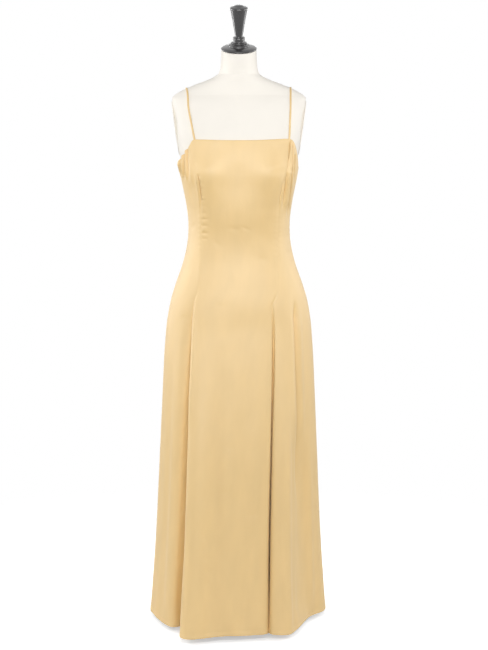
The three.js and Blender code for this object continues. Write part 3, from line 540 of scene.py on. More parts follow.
def pucker_height(gore_name, seam_name, from_seam, z):
    """Small puckers that run off a seam and die out within two fingers' breadth."""
    height = 0
    for row in PUCKERS:
        if row["gore"] == gore_name and row["seam"] == seam_name and row["z_low"] < z < row["z_high"]:
            wander = 2.2 * noise.noise(Vector((z / 23, 3.1, 7.7)))
            wave = math.sin(2 * math.pi * z / row["spacing"] + wander)
            inside = smooth_step(row["z_low"], row["z_low"] + 14, z)
            inside *= 1 - smooth_step(row["z_high"] - 14, row["z_high"], z)
            height += row["height"] * wave * inside * bell(from_seam - 7, 7)
    return height


def seam_height(seam_name, from_seam, z, sizes):
    """A seam sinks between the soft ridges that its turnings press up, and lets go at the folds."""
    held = smooth_step(FOLD_TOP_Z - 60, FOLD_TOP_Z, z)
    depth = sizes.seam_strength * SEAM_DEPTH[seam_name](z)
    return held * depth * (0.3 * bell(from_seam - 5.5, 3) - bell(from_seam, 1.5))


def hem_height(up):
    """The narrow double turning at the hem, over the line of stitches that holds it."""
    return 0.45 * (1 - smooth_step(9.5, 13, up)) - 0.35 * bell(up - 11.5, 1.2)


def edge_height(down):
    """The top edge rolls in over its turning."""
    return -0.5 * bell(down, 1.3)


DRAPE = {"body": 0.55, "skirt": 1.5, "fine": 0.16}


def drape_height(place, z):
    """Broad unevenness of hung cloth: slight on the body, long and upright in the skirt."""
    body = noise.noise(Vector((place.x / 46, place.y / 46, z / 52)))
    skirt = noise.noise(Vector((place.x / 34 + 11, place.y / 34, z / 330)))
    fine = noise.noise(Vector((place.x / 19, place.y / 19 + 5, z / 24)))
    loose = 1 - smooth_step(760, 900, z)
    on_body = DRAPE["body"] * body * (1 - 0.5 * loose)
    return on_body + DRAPE["skirt"] * skirt * loose + DRAPE["fine"] * fine


def relief(gore, place, from_start, from_end, top_z, sizes):
    """How far the cloth stands out of its plain surface at a place, in millimetres."""
    z = place.z
    height = seam_height(gore.start_seam, from_start, z, sizes)
    height += seam_height(gore.end_seam, from_end, z, sizes)
    height += pucker_height(gore.name, gore.start_seam, from_start, z)
    height += pucker_height(gore.name, gore.end_seam, from_end, z)
    height += sizes.crease_strength * sum(crease_height(row, place.x, z) for row in CREASES[gore.name])
    at_seam = smooth_step(0, 12, min(from_start, from_end))
    height += drape_height(place, z) * (0.3 + 0.7 * at_seam)
    return height + hem_height(z - HEM_Z) + edge_height(top_z - z)


# ------------------------------------------------------------------ making meshes


def finished(bm, name, material):
    """An object in the scene from a bmesh in millimetres, which is used up."""
    bmesh.ops.scale(bm, vec=(MM, MM, MM), verts=bm.verts)
    mesh = bpy.data.meshes.new(name)
    bm.to_mesh(mesh)
    bm.free()
    mesh.polygons.foreach_set("use_smooth", [True] * len(mesh.polygons))
    mesh.materials.append(material)
    made = bpy.data.objects.new(name, mesh)
    bpy.context.scene.collection.objects.link(made)
    return made


def grid(columns, rows):
    """A grid with a vertex at each column and row, and the place of each vertex in it."""
    bm = bmesh.new()
    bmesh.ops.create_grid(bm, x_segments=columns - 1, y_segments=rows - 1, size=0.5)
    places = [[None] * columns for _ in range(rows)]
    for vert in bm.verts:
        column = round((vert.co.x + 0.5) * (columns - 1))
        row = round((vert.co.y + 0.5) * (rows - 1))
        places[row][column] = vert
    return bm, places


def run_lengths(points):
    """How far along a row of points each one is."""
    lengths = [0]
    for a, b in zip(points, points[1:]):
        lengths.append(lengths[-1] + (b - a).length)
    return lengths


def write_uv(bm, coordinates):
    """Gives each vertex a place on the flat cloth, in metres, from a dictionary."""
    layer = bm.loops.layers.uv.new("cloth")
    for face in bm.faces:
        for loop in face.loops:
            loop[layer].uv = coordinates[loop.vert]


def add_modifier(piece, kind, **settings):
    """Puts a modifier on a piece."""
    made = piece.modifiers.new(kind.title(), kind)
    for name, value in settings.items():
        setattr(made, name, value)
    return made


def make_gore(index, sizes, material):
    """One gore of the dress, from the hem to the top edge, with its seam turnings folded inwards."""
    gore = Gore(index)
    threads = gore.threads(sizes.columns)
    levels = row_levels(sizes.skirt_rows / MM, sizes.bodice_rows / MM)
    columns = len(threads) + 2
    bm, verts = grid(columns, len(levels))
    flat, spans = {}, []
    for level, row in zip(levels, verts):
        for knot, vert in zip([threads[0], *threads, threads[-1]], row):
            vert.co = gore.point(knot, gore.height(knot, level))
    bm.normal_update()
    moved = []
    for level, row in zip(levels, verts):
        inner = row[1:-1]
        lengths = run_lengths([vert.co for vert in inner])
        spans.append(lengths[-1])
        for knot, vert, length in zip(threads, inner, lengths):
            top_z = gore.height(knot, NECKLINE_Z)
            out = relief(gore, vert.co, length, lengths[-1] - length, top_z, sizes)
            moved.append((vert, vert.co + vert.normal * out))
            flat[vert] = ((length - lengths[-1] / 2) * MM, vert.co.z * MM)
        for edge, beside in ((row[0], row[1]), (row[-1], row[-2])):
            turning = sizes.seam_turning / MM
            moved.append((edge, edge.co - beside.normal * turning))
            flat[edge] = flat[beside]
    for vert, place in moved:
        vert.co = place
    for side in (1, -2):
        for low, high in zip(verts, verts[1:]):
            bm.edges.get((low[side], high[side])).smooth = False
    write_uv(bm, flat)
    piece = finished(bm, gore.name + "_cloth", material)
    add_modifier(
        piece, "SOLIDIFY", thickness=sizes.cloth_thickness, offset=0, use_even_offset=False,
        use_rim=True,
    )
    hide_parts(gore.name)
    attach(piece, "root")
    width, length = max(spans) * MM, (levels[-1] - levels[0]) * MM
    return piece


def form_surface(x, z, angle):
    """The form's surface from the middle of a section, at an angle that rises from the front."""
    direction = Vector((0, -math.cos(angle), math.sin(angle)))
    centre, reach, distance = Vector((x, 0, z)), 160, 0
    for halving in range(1, 25):
        further = centre + direction * (distance + reach / 2**halving)
        if FORM.holds(*further):
            distance += reach / 2**halving
    return centre + direction * distance, direction


def strap_path(front, crest_x, back, off_form):
    """Points in the middle of a strap: up the front, over the shoulder and down the back."""
    path = []
    for end, angle, order in ((front, 0, 1), (back, math.pi, -1)):
        climb = []
        for k in range(12):
            t = k / 12
            x = end[0] + (crest_x - end[0]) * (1 - STRAP_SLANT) * t
            surface, direction = form_surface(x, end[1] + (STRAP_CENTRE_Z - end[1]) * t, angle)
            climb.append(surface + direction * off_form)
        path.append(climb[::order])
    steps = 28
    turn = []
    for k in range(steps + 1):
        angle = math.pi * k / steps
        end = front if angle < math.pi / 2 else back
        x = crest_x + (end[0] - crest_x) * STRAP_SLANT * abs(math.cos(angle))
        surface, direction = form_surface(x, STRAP_CENTRE_Z, angle)
        turn.append(surface + direction * off_form)
    return path[0] + turn + path[1]


def make_strap(name, front, crest_x, back, sizes, material):
    """A narrow strap stitched and turned out as a flattened tube."""
    thickness, sides = STRAP["thickness"], STRAP["sides"]
    path = strap_path(front, crest_x, back, thickness / 2 + STRAP["off_form"])
    path = smooth_path(path, STRAP["points"])
    bm, verts = grid(sides + 1, len(path))
    lengths = run_lengths(path)
    flat = {}
    for k, (row, middle) in enumerate(zip(verts, path)):
        along = (path[min(k + 1, len(path) - 1)] - path[max(k - 1, 0)]).normalized()
        side = (Vector((1, 0, 0)) - along * along.x).normalized()
        away = along.cross(side)
        wander = 0.22 * noise.noise(Vector((lengths[k] / 14, 0, 2.5)))
        for s, vert in enumerate(row):
            angle = 2 * math.pi * s / sides
            across = (sizes.strap_width / MM / 2 + wander) * math.cos(angle)
            vert.co = middle + side * across + away * (thickness / 2) * math.sin(angle)
            flat[vert] = (s / sides * 13 * MM, lengths[k] * MM)
    write_uv(bm, flat)
    bmesh.ops.remove_doubles(bm, verts=bm.verts, dist=0.01)
    bmesh.ops.recalc_face_normals(bm, faces=bm.faces)
    piece = finished(bm, name + "_rouleau", material)
    add_modifier(piece, "SOLIDIFY", thickness=STRAP["wall"] * MM, offset=-1, use_rim=True)
    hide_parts(name)
    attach(piece, "root")
    return piece


def smooth_path(points, count):
    """A path of evenly spaced points through a few, with its corners eased."""
    for _ in range(3):
        inner = [(a + b * 2 + c) / 4 for a, b, c in zip(points, points[1:], points[2:])]
        points = [points[0], *inner, points[-1]]
    lengths = run_lengths(points)
    made = []
    for k in range(count + 1):
        at = lengths[-1] * k / count
        i = min(bisect_right(lengths, at) - 1, len(points) - 2)
        share = (at - lengths[i]) / (lengths[i + 1] - lengths[i])
        made.append(points[i].lerp(points[i + 1], share))
    return made


# ------------------------------------------------------------------ the dress form

FORM_SEAM_TURNS = (0, 38, 90, 142, 180, 218, 270, 322)


def form_turns():
    """Turns of the torso's columns: even, with close ones at each seam of its cover."""
    close = (-1.4, -0.7, -0.3, 0, 0.3, 0.7, 1.4)
    turns = []
    for seam, following in zip(FORM_SEAM_TURNS, (*FORM_SEAM_TURNS[1:], 360)):
        turns += [seam + step for step in close]
        span = following - seam - 2 * close[-1]
        count = round(span / 2.6)
        turns += [seam + close[-1] + span * k / count for k in range(1, count)]
    return turns


def form_levels():
    """Heights of the torso's rows, closer over the shoulders and at the neck's seam."""
    levels = [731 + 3 * k for k in range(6)] + [752 + 9 * k for k in range(70)]
    levels += [1384 + 3 * k for k in range(22)] + [1450 + 2 * k for k in range(9)]
    return levels + [1470 + 6 * k for k in range(9)] + [NECK["top_z"] - drop for drop in (2, 0.6, 0)]


def cover_height(turn, z):
    """Seams of the form's cover, down its length and round the root of its neck."""
    nearest = min(abs((turn - seam + 180) % 360 - 180) for seam in (*FORM_SEAM_TURNS, 360))
    down = -0.5 * bell(nearest, 0.45) + 0.16 * bell(nearest - 1.3, 0.6)
    body = 1 - smooth_step(1392, 1412, z)
    neck = -0.5 * bell(z - 1462, 1.6)
    return down * body + neck


def make_torso(material):
    """The torso and neck under their cover, cut flat under each shoulder."""
    turns, levels = form_turns(), form_levels()
    bm, verts = grid(len(turns) + 1, len(levels))
    for level, row in zip(levels, verts):
        for turn, vert in zip([*turns, turns[0]], row):
            vert.co = FORM.point(turn, level)
            out = Vector((vert.co.x, vert.co.y, 0)).normalized()
            vert.co += out * cover_height(turn, level)
            share = smooth_step(NECK["lean_from_z"], NECK["top_z"], level)
            vert.co.z += vert.co.y * math.tan(NECK["tilt"]) * share
            vert.co.y -= NECK["forward"] * share
    bmesh.ops.remove_doubles(bm, verts=bm.verts, dist=0.01)
    lean = arm_lean()
    for side in (-1, 1):
        normal = Vector((side * math.cos(lean), 0, -math.sin(lean)))
        point = Vector((side * ARM_CUT["top_x"], 0, ARM_CUT["top_z"]))
        everything = bm.verts[:] + bm.edges[:] + bm.faces[:]
        cut = bmesh.ops.bisect_plane(
            bm, geom=everything, plane_co=point, plane_no=normal, clear_outer=True
        )
        rim = [item for item in cut["geom_cut"] if isinstance(item, bmesh.types.BMEdge)]
        bmesh.ops.holes_fill(bm, edges=rim, sides=0)
    open_edges = [edge for edge in bm.edges if edge.is_boundary]
    bmesh.ops.holes_fill(bm, edges=open_edges, sides=0)
    bmesh.ops.recalc_face_normals(bm, faces=bm.faces)
    piece = finished(bm, "torso_cover", material)
    piece.data.set_sharp_from_angle(angle=math.radians(50))
    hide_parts("torso")
    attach(piece, "root")
    return piece


def arm_lean():
    """How far the flat sides of the torso lean out towards their tops."""
    run = ARM_CUT["top_x"] - ARM_CUT["bottom_x"]
    return math.atan2(run, ARM_CUT["top_z"] - ARM_CUT["bottom_z"])


def make_arm_plate(name, side, material):
    """The covered oval plate on a flat side of the torso, with a soft edge."""
    lean = arm_lean()
    bm = bmesh.new()
    bmesh.ops.create_circle(bm, cap_ends=True, radius=1, segments=96)
    half_height = (ARM_PLATE["top_z"] - ARM_PLATE["bottom_z"]) / 2
    bmesh.ops.scale(bm, vec=(half_height, ARM_PLATE["half_depth"], 1), verts=bm.verts)
    raised = bmesh.ops.extrude_face_region(bm, geom=bm.faces[:])["geom"]
    top = [item for item in raised if isinstance(item, bmesh.types.BMVert)]
    bmesh.ops.translate(bm, vec=(0, 0, ARM_PLATE["thickness"]), verts=top)
    thickness = ARM_PLATE["thickness"]
    rim = [edge for edge in bm.edges if all(abs(v.co.z - thickness) < 0.01 for v in edge.verts)]
    bmesh.ops.bevel(
        bm, geom=rim, offset=1.5, offset_type="OFFSET", affect="EDGES", segments=4, profile=0.5,
        material=-1,
    )
    bmesh.ops.recalc_face_normals(bm, faces=bm.faces)
    middle_z = (ARM_PLATE["top_z"] + ARM_PLATE["bottom_z"]) / 2
    x = ARM_CUT["bottom_x"] + (middle_z - ARM_CUT["bottom_z"]) * math.tan(lean)
    x, z = x + GAP * math.cos(lean), middle_z - GAP * math.sin(lean)
    turn = Matrix.Rotation(side * (math.pi / 2 + lean), 4, "Y")
    bmesh.ops.transform(bm, matrix=Matrix.Translation((side * x, 0, z)) @ turn, verts=bm.verts)
    piece = finished(bm, name + "_cover", material)
    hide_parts(name)
    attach(piece, "root")
    return piece


def round_profile(rows, steps=4):
    """A turned outline with its soft stretches rounded and its sharp points kept."""
    points = [Vector((row["r"], 0, row["z"])) for row in rows]
    made = [points[0]]
    for i, (p1, p2) in enumerate(zip(points, points[1:])):
        p0 = points[i - 1] if i and not rows[i]["sharp"] else p1
        p3 = points[i + 2] if i + 2 < len(points) and not rows[i + 1]["sharp"] else p2
        if rows[i]["sharp"] and rows[i + 1]["sharp"]:
            made.append(p2)
            continue
        for k in range(1, steps + 1):
            t = k / steps
            rise = t * t * (3 - 2 * t)
            leave = (p2 - p0) / 2 * (t**3 - 2 * t * t + t)
            arrive = (p3 - p1) / 2 * (t**3 - t * t)
            made.append(p1 * (1 - rise) + p2 * rise + leave + arrive)
    made[-1].x = 0
    return made


def turned(profile, name, node, material, matrix=Matrix.Identity(4)):
    """A piece turned on a lathe from an outline in the plane y = 0 that starts and ends on the axis."""
    bm = bmesh.new()
    verts = [bm.verts.new(point) for point in profile]
    edges = [bm.edges.new(pair) for pair in zip(verts, verts[1:])]
    bmesh.ops.spin(
        bm, geom=verts + edges, cent=(0, 0, 0), axis=(0, 0, 1), angle=2 * math.pi, steps=96,
        use_merge=True,
    )
    bmesh.ops.remove_doubles(bm, verts=bm.verts, dist=0.005)
    bmesh.ops.recalc_face_normals(bm, faces=bm.faces)
    bmesh.ops.transform(bm, matrix=matrix, verts=bm.verts)
    piece = finished(bm, name, material)
    piece.data.set_sharp_from_angle(angle=math.radians(38))
    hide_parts(node)
    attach(piece, "root")
    return piece


def neck_matrix():
    """Places a piece on the neck's tilted top."""
    lift = NECK["top_z"] + GAP / math.cos(NECK["tilt"])
    return Matrix.Translation((0, -NECK["forward"], lift)) @ Matrix.Rotation(NECK["tilt"], 4, "X")


# ------------------------------------------------------------------ materials


def linear(hex_colour):
    """A colour for a node from sRGB hex."""
    channels = [int(hex_colour[i : i + 2], 16) / 255 for i in (1, 3, 5)]
    return [c / 12.92 if c <= 0.04045 else ((c + 0.055) / 1.055) ** 2.4 for c in channels]


def per(millimetres):
    """The scale that gives a pattern this size on coordinates in metres."""
    return 1 / (millimetres * MM)


def add(tree, kind, values=None, links=None, **settings):
    """Adds a node: settings are its own, values are its sockets' and links are what feeds them."""
    made = tree.nodes.new(kind)
    for name, value in settings.items():
        setattr(made, name, value)
    for socket, value in (values or {}).items():
        made.inputs[socket].default_value = value
    for socket, source in (links or {}).items():
        tree.links.new(source, made.inputs[socket])
    return made


def new_material(name, **values):
    """A material with one principled shader, and the values of its sockets."""
    material = bpy.data.materials.new(name)
    material.use_nodes = True
    tree = material.node_tree
    shader = tree.nodes["Principled BSDF"]
    for socket, value in values.items():
        shader.inputs[socket.replace("_", " ")].default_value = value
    return material, tree, shader


def shaded(tree, shader, factor, dark, light, low=0.3, high=0.7):
    """Feeds the shader's base colour from a pattern, between two colours."""
    ramp = add(tree, "ShaderNodeValToRGB", links={"Fac": factor})
    ends = ramp.color_ramp.elements
    ends[0].position, ends[1].position = low, high
    ends[0].color, ends[1].color = (*dark, 1), (*light, 1)
    tree.links.new(ramp.outputs["Color"], shader.inputs["Base Color"])


def tinted(colour, factor):
    """A colour made darker or lighter by a factor."""
    return [min(1, channel * factor) for channel in colour]


def pattern(tree, coordinates, size, detail=2, **values):
    """Noise on coordinates in metres, its size in millimetres: one for all axes or one for each."""
    scale = 1
    if isinstance(size, tuple):
        scales = [*(per(part) for part in size), 1][:3]
        mapping = add(tree, "ShaderNodeMapping", {"Scale": scales}, {"Vector": coordinates})
        coordinates = mapping.outputs["Vector"]
    else:
        scale = per(size)
    values = {"Scale": scale, "Detail": detail, **values}
    return add(tree, "ShaderNodeTexNoise", values, {"Vector": coordinates}).outputs["Fac"]


def raised(tree, height, strength, millimetres, over=None):
    """A pattern as fine relief this high, over another relief if one is given."""
    links = {"Height": height, "Normal": over} if over else {"Height": height}
    values = {"Strength": strength, "Distance": millimetres * MM}
    return add(tree, "ShaderNodeBump", values, links).outputs["Normal"]


def satin_material(colours):
    """Polyester satin, woven with long floats: a soft broad sheen, brighter where it turns away."""
    material, tree, shader = new_material(
        "polyester_satin", Roughness=0.6, IOR=1.65, Specular_IOR_Level=1, Sheen_Weight=0.22,
        Sheen_Roughness=0.36, Anisotropic=0.5,
    )
    shader.inputs["Sheen Tint"].default_value = (*linear("#fff4d8"), 1)
    flat = add(tree, "ShaderNodeUVMap", uv_map="cloth").outputs["UV"]
    # warp floats, drawn at about four times their real breadth so that they show
    threads = pattern(tree, flat, (1.1, 26))
    # slight crumpling, a few centimetres across
    crumple = pattern(tree, flat, (26, 44), 3, Distortion=0.6)
    # the dye takes a little unevenly
    mottle = pattern(tree, flat, (38, 120))
    shaded(tree, shader, mottle, tinted(colours.satin, 0.97), tinted(colours.satin, 1.03))
    woven = raised(tree, threads, 0.25, 0.12, over=raised(tree, crumple, 0.35, 0.9))
    tangent = add(tree, "ShaderNodeTangent", direction_type="UV_MAP", uv_map="cloth")
    tree.links.new(woven, shader.inputs["Normal"])
    tree.links.new(tangent.outputs["Tangent"], shader.inputs["Tangent"])
    return material


def jersey_material(colours):
    """Cotton jersey stretched over padding: matt, off-white, with a fine soft knit."""
    material, tree, shader = new_material(
        "cotton_jersey", Roughness=0.88, Specular_IOR_Level=0.3, Sheen_Weight=0.12, Sheen_Roughness=0.6
    )
    place = add(tree, "ShaderNodeTexCoord").outputs["Object"]
    # knit courses, drawn at about twice their real height so that they show
    courses = pattern(tree, place, (2.4, 2.4, 1.3))
    # a faint greying where it is handled
    handled = pattern(tree, place, 90, 3)
    shaded(tree, shader, handled, tinted(colours.form_cover, 0.965), tinted(colours.form_cover, 1.0))
    tree.links.new(raised(tree, courses, 0.3, 0.25), shader.inputs["Normal"])
    return material


def lacquer_material(colours):
    """Turned beech under black lacquer: nearly black, glossy, with the lathe's faint rings."""
    material, tree, shader = new_material(
        "black_lacquered_beech", Roughness=0.32, IOR=1.5, Coat_Weight=0.7, Coat_Roughness=0.12
    )
    place = add(tree, "ShaderNodeTexCoord").outputs["Object"]
    # rings of the lathe, closer in height than round the piece
    grain = pattern(tree, place, (5, 5, 1.1), 3)
    shaded(tree, shader, grain, tinted(colours.lacquer, 0.8), tinted(colours.lacquer, 1.25))
    tree.links.new(raised(tree, grain, 0.12, 0.2), shader.inputs["Normal"])
    return material


def enamel_material(colours):
    """Steel under black powder coat: dark, half matt, with the coat's fine orange peel."""
    material, tree, shader = new_material("powder_coated_steel", Roughness=0.46, IOR=1.5)
    place = add(tree, "ShaderNodeTexCoord").outputs["Object"]
    peel = pattern(tree, place, 1.6)
    # dust that settles in soft patches
    dust = pattern(tree, place, 60, 4)
    shaded(tree, shader, dust, tinted(colours.steel, 0.85), tinted(colours.steel, 1.3))
    tree.links.new(raised(tree, peel, 0.2, 0.15), shader.inputs["Normal"])
    return material


def studio_paint_material(radius, glow):
    """Matt white studio paint, lit up where it is seen. At its rim it gives way to the surround."""
    material, tree, shader = new_material("matt_studio_paint", Roughness=0.9, Specular_IOR_Level=0.1)
    place = add(tree, "ShaderNodeTexCoord").outputs["Object"]
    shaded(tree, shader, pattern(tree, place, 160), linear("#f3f3f3"), linear("#f6f6f6"))
    seen = add(tree, "ShaderNodeLightPath")
    seen_only = {0: seen.outputs["Is Camera Ray"]}
    lit = add(tree, "ShaderNodeMath", {1: glow}, seen_only, operation="MULTIPLY")
    shader.inputs["Emission Color"].default_value = (1, 1, 1, 1)
    tree.links.new(lit.outputs["Value"], shader.inputs["Emission Strength"])
    distance = add(tree, "ShaderNodeVectorMath", links={0: place}, operation="LENGTH")
    clear = add(
        tree, "ShaderNodeMapRange", {"From Min": radius * 0.3, "From Max": radius * 0.95},
        {"Value": distance.outputs["Value"]}, interpolation_type="SMOOTHSTEP",
    )
    nothing = add(tree, "ShaderNodeBsdfTransparent")
    faded = add(
        tree, "ShaderNodeMixShader",
        links={0: clear.outputs["Result"], 1: shader.outputs["BSDF"], 2: nothing.outputs["BSDF"]},
    )
    tree.links.new(faded.outputs["Shader"], tree.nodes["Material Output"].inputs["Surface"])
    return material


# ------------------------------------------------------------------ settings


class DressSizes(bpy.types.PropertyGroup):
    """Sizes of the cloth."""

    cloth_thickness: FloatProperty(
        name="Cloth thickness", description="Thickness of the satin", default=0.8 * MM, unit="LENGTH"
    )
    skirt_rows: FloatProperty(
        name="Skirt rows", description="Height between rows of the skirt's mesh",
        default=4.8 * MM, unit="LENGTH",
    )
    bodice_rows: FloatProperty(
        name="Bodice rows", description="Height between rows of the bodice's mesh",
        default=2.6 * MM, unit="LENGTH",
    )
    columns: IntProperty(
        name="Columns", description="Columns of the mesh across a gore", default=96, min=24
    )
    seam_strength: FloatProperty(
        name="Seams", description="Depth of the seams' grooves", default=1.0, subtype="FACTOR"
    )
    seam_turning: FloatProperty(
        name="Seam turning", description="Cloth folded inwards at a seam",
        default=2.0 * MM, unit="LENGTH",
    )
    crease_strength: FloatProperty(
        name="Creases", description="Depth of the creases and soft folds", default=1.0, subtype="FACTOR"
    )
    strap_width: FloatProperty(
        name="Strap width", description="Width of a shoulder strap", default=4.8 * MM, unit="LENGTH"
    )


class DressColours(bpy.types.PropertyGroup):
    """Colours of the dress and its form."""

    satin: FloatVectorProperty(
        name="Satin", description="Colour of the dress", default=linear("#d8b77a"), subtype="COLOR"
    )
    form_cover: FloatVectorProperty(
        name="Form cover", description="Colour of the form's jersey",
        default=linear("#f2ede4"), subtype="COLOR",
    )
    lacquer: FloatVectorProperty(
        name="Lacquer", description="Colour of the neck cap", default=linear("#1d1b1c"), subtype="COLOR"
    )
    steel: FloatVectorProperty(
        name="Stand", description="Colour of the pole and base",
        default=linear("#232325"), subtype="COLOR",
    )


class StageSettings(bpy.types.PropertyGroup):
    """The studio round the form."""

    fill: FloatProperty(
        name="Fill", description="Strength of the surround as a light", default=0.04, min=0
    )
    gloss: FloatProperty(
        name="Gloss", description="Strength of the surround in reflections", default=1.0, min=0
    )
    floor_glow: FloatProperty(
        name="Floor glow", description="How far the floor is lit up", default=0.5, min=0
    )
    front_power: FloatProperty(
        name="Front light", description="Power of the wide light in front of the chest",
        default=35.6, unit="POWER",
    )
    overhead_power: FloatProperty(
        name="Overhead light", description="Power of the light above and in front",
        default=13, unit="POWER",
    )
    left_power: FloatProperty(
        name="Left light", description="Power of the light to the camera's left",
        default=26, unit="POWER",
    )
    right_power: FloatProperty(
        name="Right light", description="Power of the light to the camera's right",
        default=29, unit="POWER",
    )
    left_rim_power: FloatProperty(
        name="Left rim light", description="Power of the light behind, to the left",
        default=30, unit="POWER",
    )
    right_rim_power: FloatProperty(
        name="Right rim light", description="Power of the light behind, to the right",
        default=18, unit="POWER",
    )
    back_power: FloatProperty(
        name="Back light", description="Power of the wide light behind", default=24, unit="POWER"
    )
    floor_size: FloatProperty(
        name="Floor", description="Width of the round floor", default=3.2, unit="LENGTH"
    )


class DRESS_OT_gores(bpy.types.Operator):
    """Makes the six gores of the dress"""

    bl_idname = "dress.gores"
    bl_label = "Gores"

    def execute(self, context):
        material = satin_material(context.scene.dress_colours)
        for index in range(len(GORES)):
            make_gore(index, context.scene.dress_sizes, material)
        return {"FINISHED"}


class DRESS_OT_straps(bpy.types.Operator):
    """Makes the two shoulder straps"""

    bl_idname = "dress.straps"
    bl_label = "Straps"

    def execute(self, context):
        material = bpy.data.materials["polyester_satin"]
        for name, strap in STRAPS.items():
            make_strap(name, **strap, sizes=context.scene.dress_sizes, material=material)
        return {"FINISHED"}


class DRESS_OT_form(bpy.types.Operator):
    """Makes the covered torso and its two arm plates"""

    bl_idname = "dress.form"
    bl_label = "Torso and arm plates"

    def execute(self, context):
        material = jersey_material(context.scene.dress_colours)
        make_torso(material)
        for name, side in (("arm_plate_right", -1), ("arm_plate_left", 1)):
            make_arm_plate(name, side, material)
        return {"FINISHED"}


class DRESS_OT_neck_top(bpy.types.Operator):
    """Makes the turned wooden cap and its handle"""

    bl_idname = "dress.neck_top"
    bl_label = "Neck cap and handle"

    def execute(self, context):
        material = lacquer_material(context.scene.dress_colours)
        for profile, node in ((CAP_PROFILE, "neck_cap"), (HANDLE_PROFILE, "cap_handle")):
            outline = round_profile(profile)
            turned(outline, node + "_turning", node, material, neck_matrix())
        return {"FINISHED"}


class DRESS_OT_stand(bpy.types.Operator):
    """Makes the pole and the round base"""

    bl_idname = "dress.stand"
    bl_label = "Stand"

    def execute(self, context):
        material = enamel_material(context.scene.dress_colours)
        low, high = BASE["thickness"] + GAP, FORM_SECTIONS[0]["z"] - GAP
        pole = table(
            "r z sharp", (0, low, 1), (POLE_RADIUS, low, 1), (POLE_RADIUS, high, 1), (0, high, 1)
        )
        radius, top = BASE["radius"], BASE["thickness"]
        base = table(
            "r z sharp",
            (0, 0, 1), (radius - 1.2, 0, 1), (radius, 1.2, 0), (radius, top - 3.2, 0),
            (radius - 1, top - 1, 0), (radius - 3.2, top, 0), (POLE_RADIUS + 12, top, 1), (0, top, 1),
        )
        turned(round_profile(pole), "pole_tube", "pole", material)
        turned(round_profile(base), "base_plate", "base", material)
        return {"FINISHED"}


# The lights: where each stands, how wide and high it is, and the setting of its power.
LIGHTS = table(
    "name place size power",
    ("front", (0, -2.2, 1.5), (1.6, 0.5), "front_power"),
    ("overhead", (0, -1.7, 2.8), (1.2, 0.7), "overhead_power"),
    ("side_left_of_camera", (-2.7, -0.5, 1.6), (1.0, 2.0), "left_power"),
    ("side_right_of_camera", (2.7, -0.5, 1.6), (1.0, 2.0), "right_power"),
    ("rim_left_of_camera", (-2.2, 0.9, 1.5), (0.8, 1.8), "left_rim_power"),
    ("rim_right_of_camera", (2.2, 0.9, 1.5), (0.8, 1.8), "right_rim_power"),
    ("behind", (0, 3.2, 1.7), (2.0, 1.2), "back_power"),
)
LIGHT_TARGET = (0, 0, 1.0)
CAMERA = {"place": (0.0132, -3.6, 1.25), "pitch": math.radians(7.1), "sensor": 36, "lens": 75.32}


class DRESS_OT_stage(bpy.types.Operator):
    """Makes the floor, the lights and the camera"""

    bl_idname = "dress.stage"
    bl_label = "Stage"

    def execute(self, context):
        scene, settings = context.scene, context.scene.dress_stage
        scene.view_settings.view_transform = "Standard"
        scene.world = white_surround(settings.fill, settings.gloss)
        bm = bmesh.new()
        bmesh.ops.create_circle(bm, cap_ends=True, radius=settings.floor_size / 2 / MM, segments=96)
        paint = studio_paint_material(settings.floor_size / 2, settings.floor_glow)
        finished(bm, "floor", paint)
        for row in LIGHTS:
            add_light(row["name"], row["place"], row["size"], getattr(settings, row["power"]))
        add_camera()
        return {"FINISHED"}


def white_surround(fill, gloss):
    """A white surround: bright where it is seen, and dimmer as a light so that the lamps can model."""
    world = bpy.data.worlds.new("white_surround")
    world.use_nodes = True
    tree = world.node_tree
    seen = add(tree, "ShaderNodeLightPath")
    reflected = add(
        tree, "ShaderNodeMath", {1: gloss - fill, 2: fill}, {0: seen.outputs["Is Glossy Ray"]},
        operation="MULTIPLY_ADD",
    )
    strength = add(
        tree, "ShaderNodeMath", links={0: seen.outputs["Is Camera Ray"], 1: reflected.outputs["Value"]},
        operation="MAXIMUM",
    )
    background = tree.nodes["Background"]
    background.inputs["Color"].default_value = (1, 1, 1, 1)
    tree.links.new(strength.outputs["Value"], background.inputs["Strength"])
    return world


def aimed(place, target):
    """A matrix that stands at a place and looks at a target."""
    place, target = Vector(place), Vector(target)
    return Matrix.Translation(place) @ (target - place).to_track_quat("-Z", "Y").to_matrix().to_4x4()


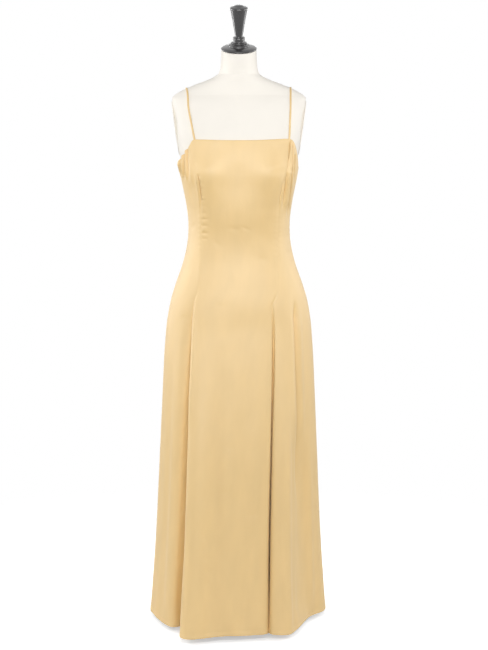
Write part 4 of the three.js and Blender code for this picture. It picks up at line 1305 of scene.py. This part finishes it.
def add_light(name, place, size, power):
    """A soft rectangular light, aimed at the hips."""
    light = bpy.data.lights.new(name, "AREA")
    light.shape = "RECTANGLE"
    light.size, light.size_y = size
    light.energy = power
    made = bpy.data.objects.new(name, light)
    made.matrix_world = aimed(place, LIGHT_TARGET)
    made.visible_camera = False
    bpy.context.scene.collection.objects.link(made)


def add_camera():
    """The camera stands a little in front of the form at chest height and looks slightly down."""
    place, pitch = Vector(CAMERA["place"]), CAMERA["pitch"]
    camera = bpy.data.cameras.new("camera")
    camera.sensor_width, camera.lens = CAMERA["sensor"], CAMERA["lens"]
    made = bpy.data.objects.new("camera", camera)
    made.matrix_world = aimed(place, place + Vector((0, math.cos(pitch), -math.sin(pitch))))
    bpy.context.scene.collection.objects.link(made)
    bpy.context.scene.camera = made


OPERATORS = (
    DRESS_OT_stage, DRESS_OT_gores, DRESS_OT_straps, DRESS_OT_form, DRESS_OT_neck_top, DRESS_OT_stand,
)


class DRESS_PT_panel(bpy.types.Panel):
    """Lists the steps that make the dress"""

    bl_label = "Dress"
    bl_idname = "DRESS_PT_panel"
    bl_space_type = "VIEW_3D"
    bl_region_type = "UI"
    bl_category = "Dress"

    def draw(self, context):
        scene = context.scene
        for settings in (scene.dress_sizes, scene.dress_colours, scene.dress_stage):
            box = self.layout.box()
            for name in settings.__annotations__:
                box.prop(settings, name)
        for operator in OPERATORS:
            self.layout.operator(operator.bl_idname)


CLASSES = (DressSizes, DressColours, StageSettings, *OPERATORS, DRESS_PT_panel)


def register():
    for cls in CLASSES:
        bpy.utils.register_class(cls)
    bpy.types.Scene.dress_sizes = PointerProperty(type=DressSizes)
    bpy.types.Scene.dress_colours = PointerProperty(type=DressColours)
    bpy.types.Scene.dress_stage = PointerProperty(type=StageSettings)


def unregister():
    for name in ("dress_sizes", "dress_colours", "dress_stage"):
        delattr(bpy.types.Scene, name)
    for cls in reversed(CLASSES):
        bpy.utils.unregister_class(cls)


def main():
    register()
    bpy.ops.dress.stage()
    bpy.ops.dress.form()
    bpy.ops.dress.neck_top()
    bpy.ops.dress.stand()
    bpy.ops.dress.gores()
    bpy.ops.dress.straps()


if __name__ == "__main__":
    main()
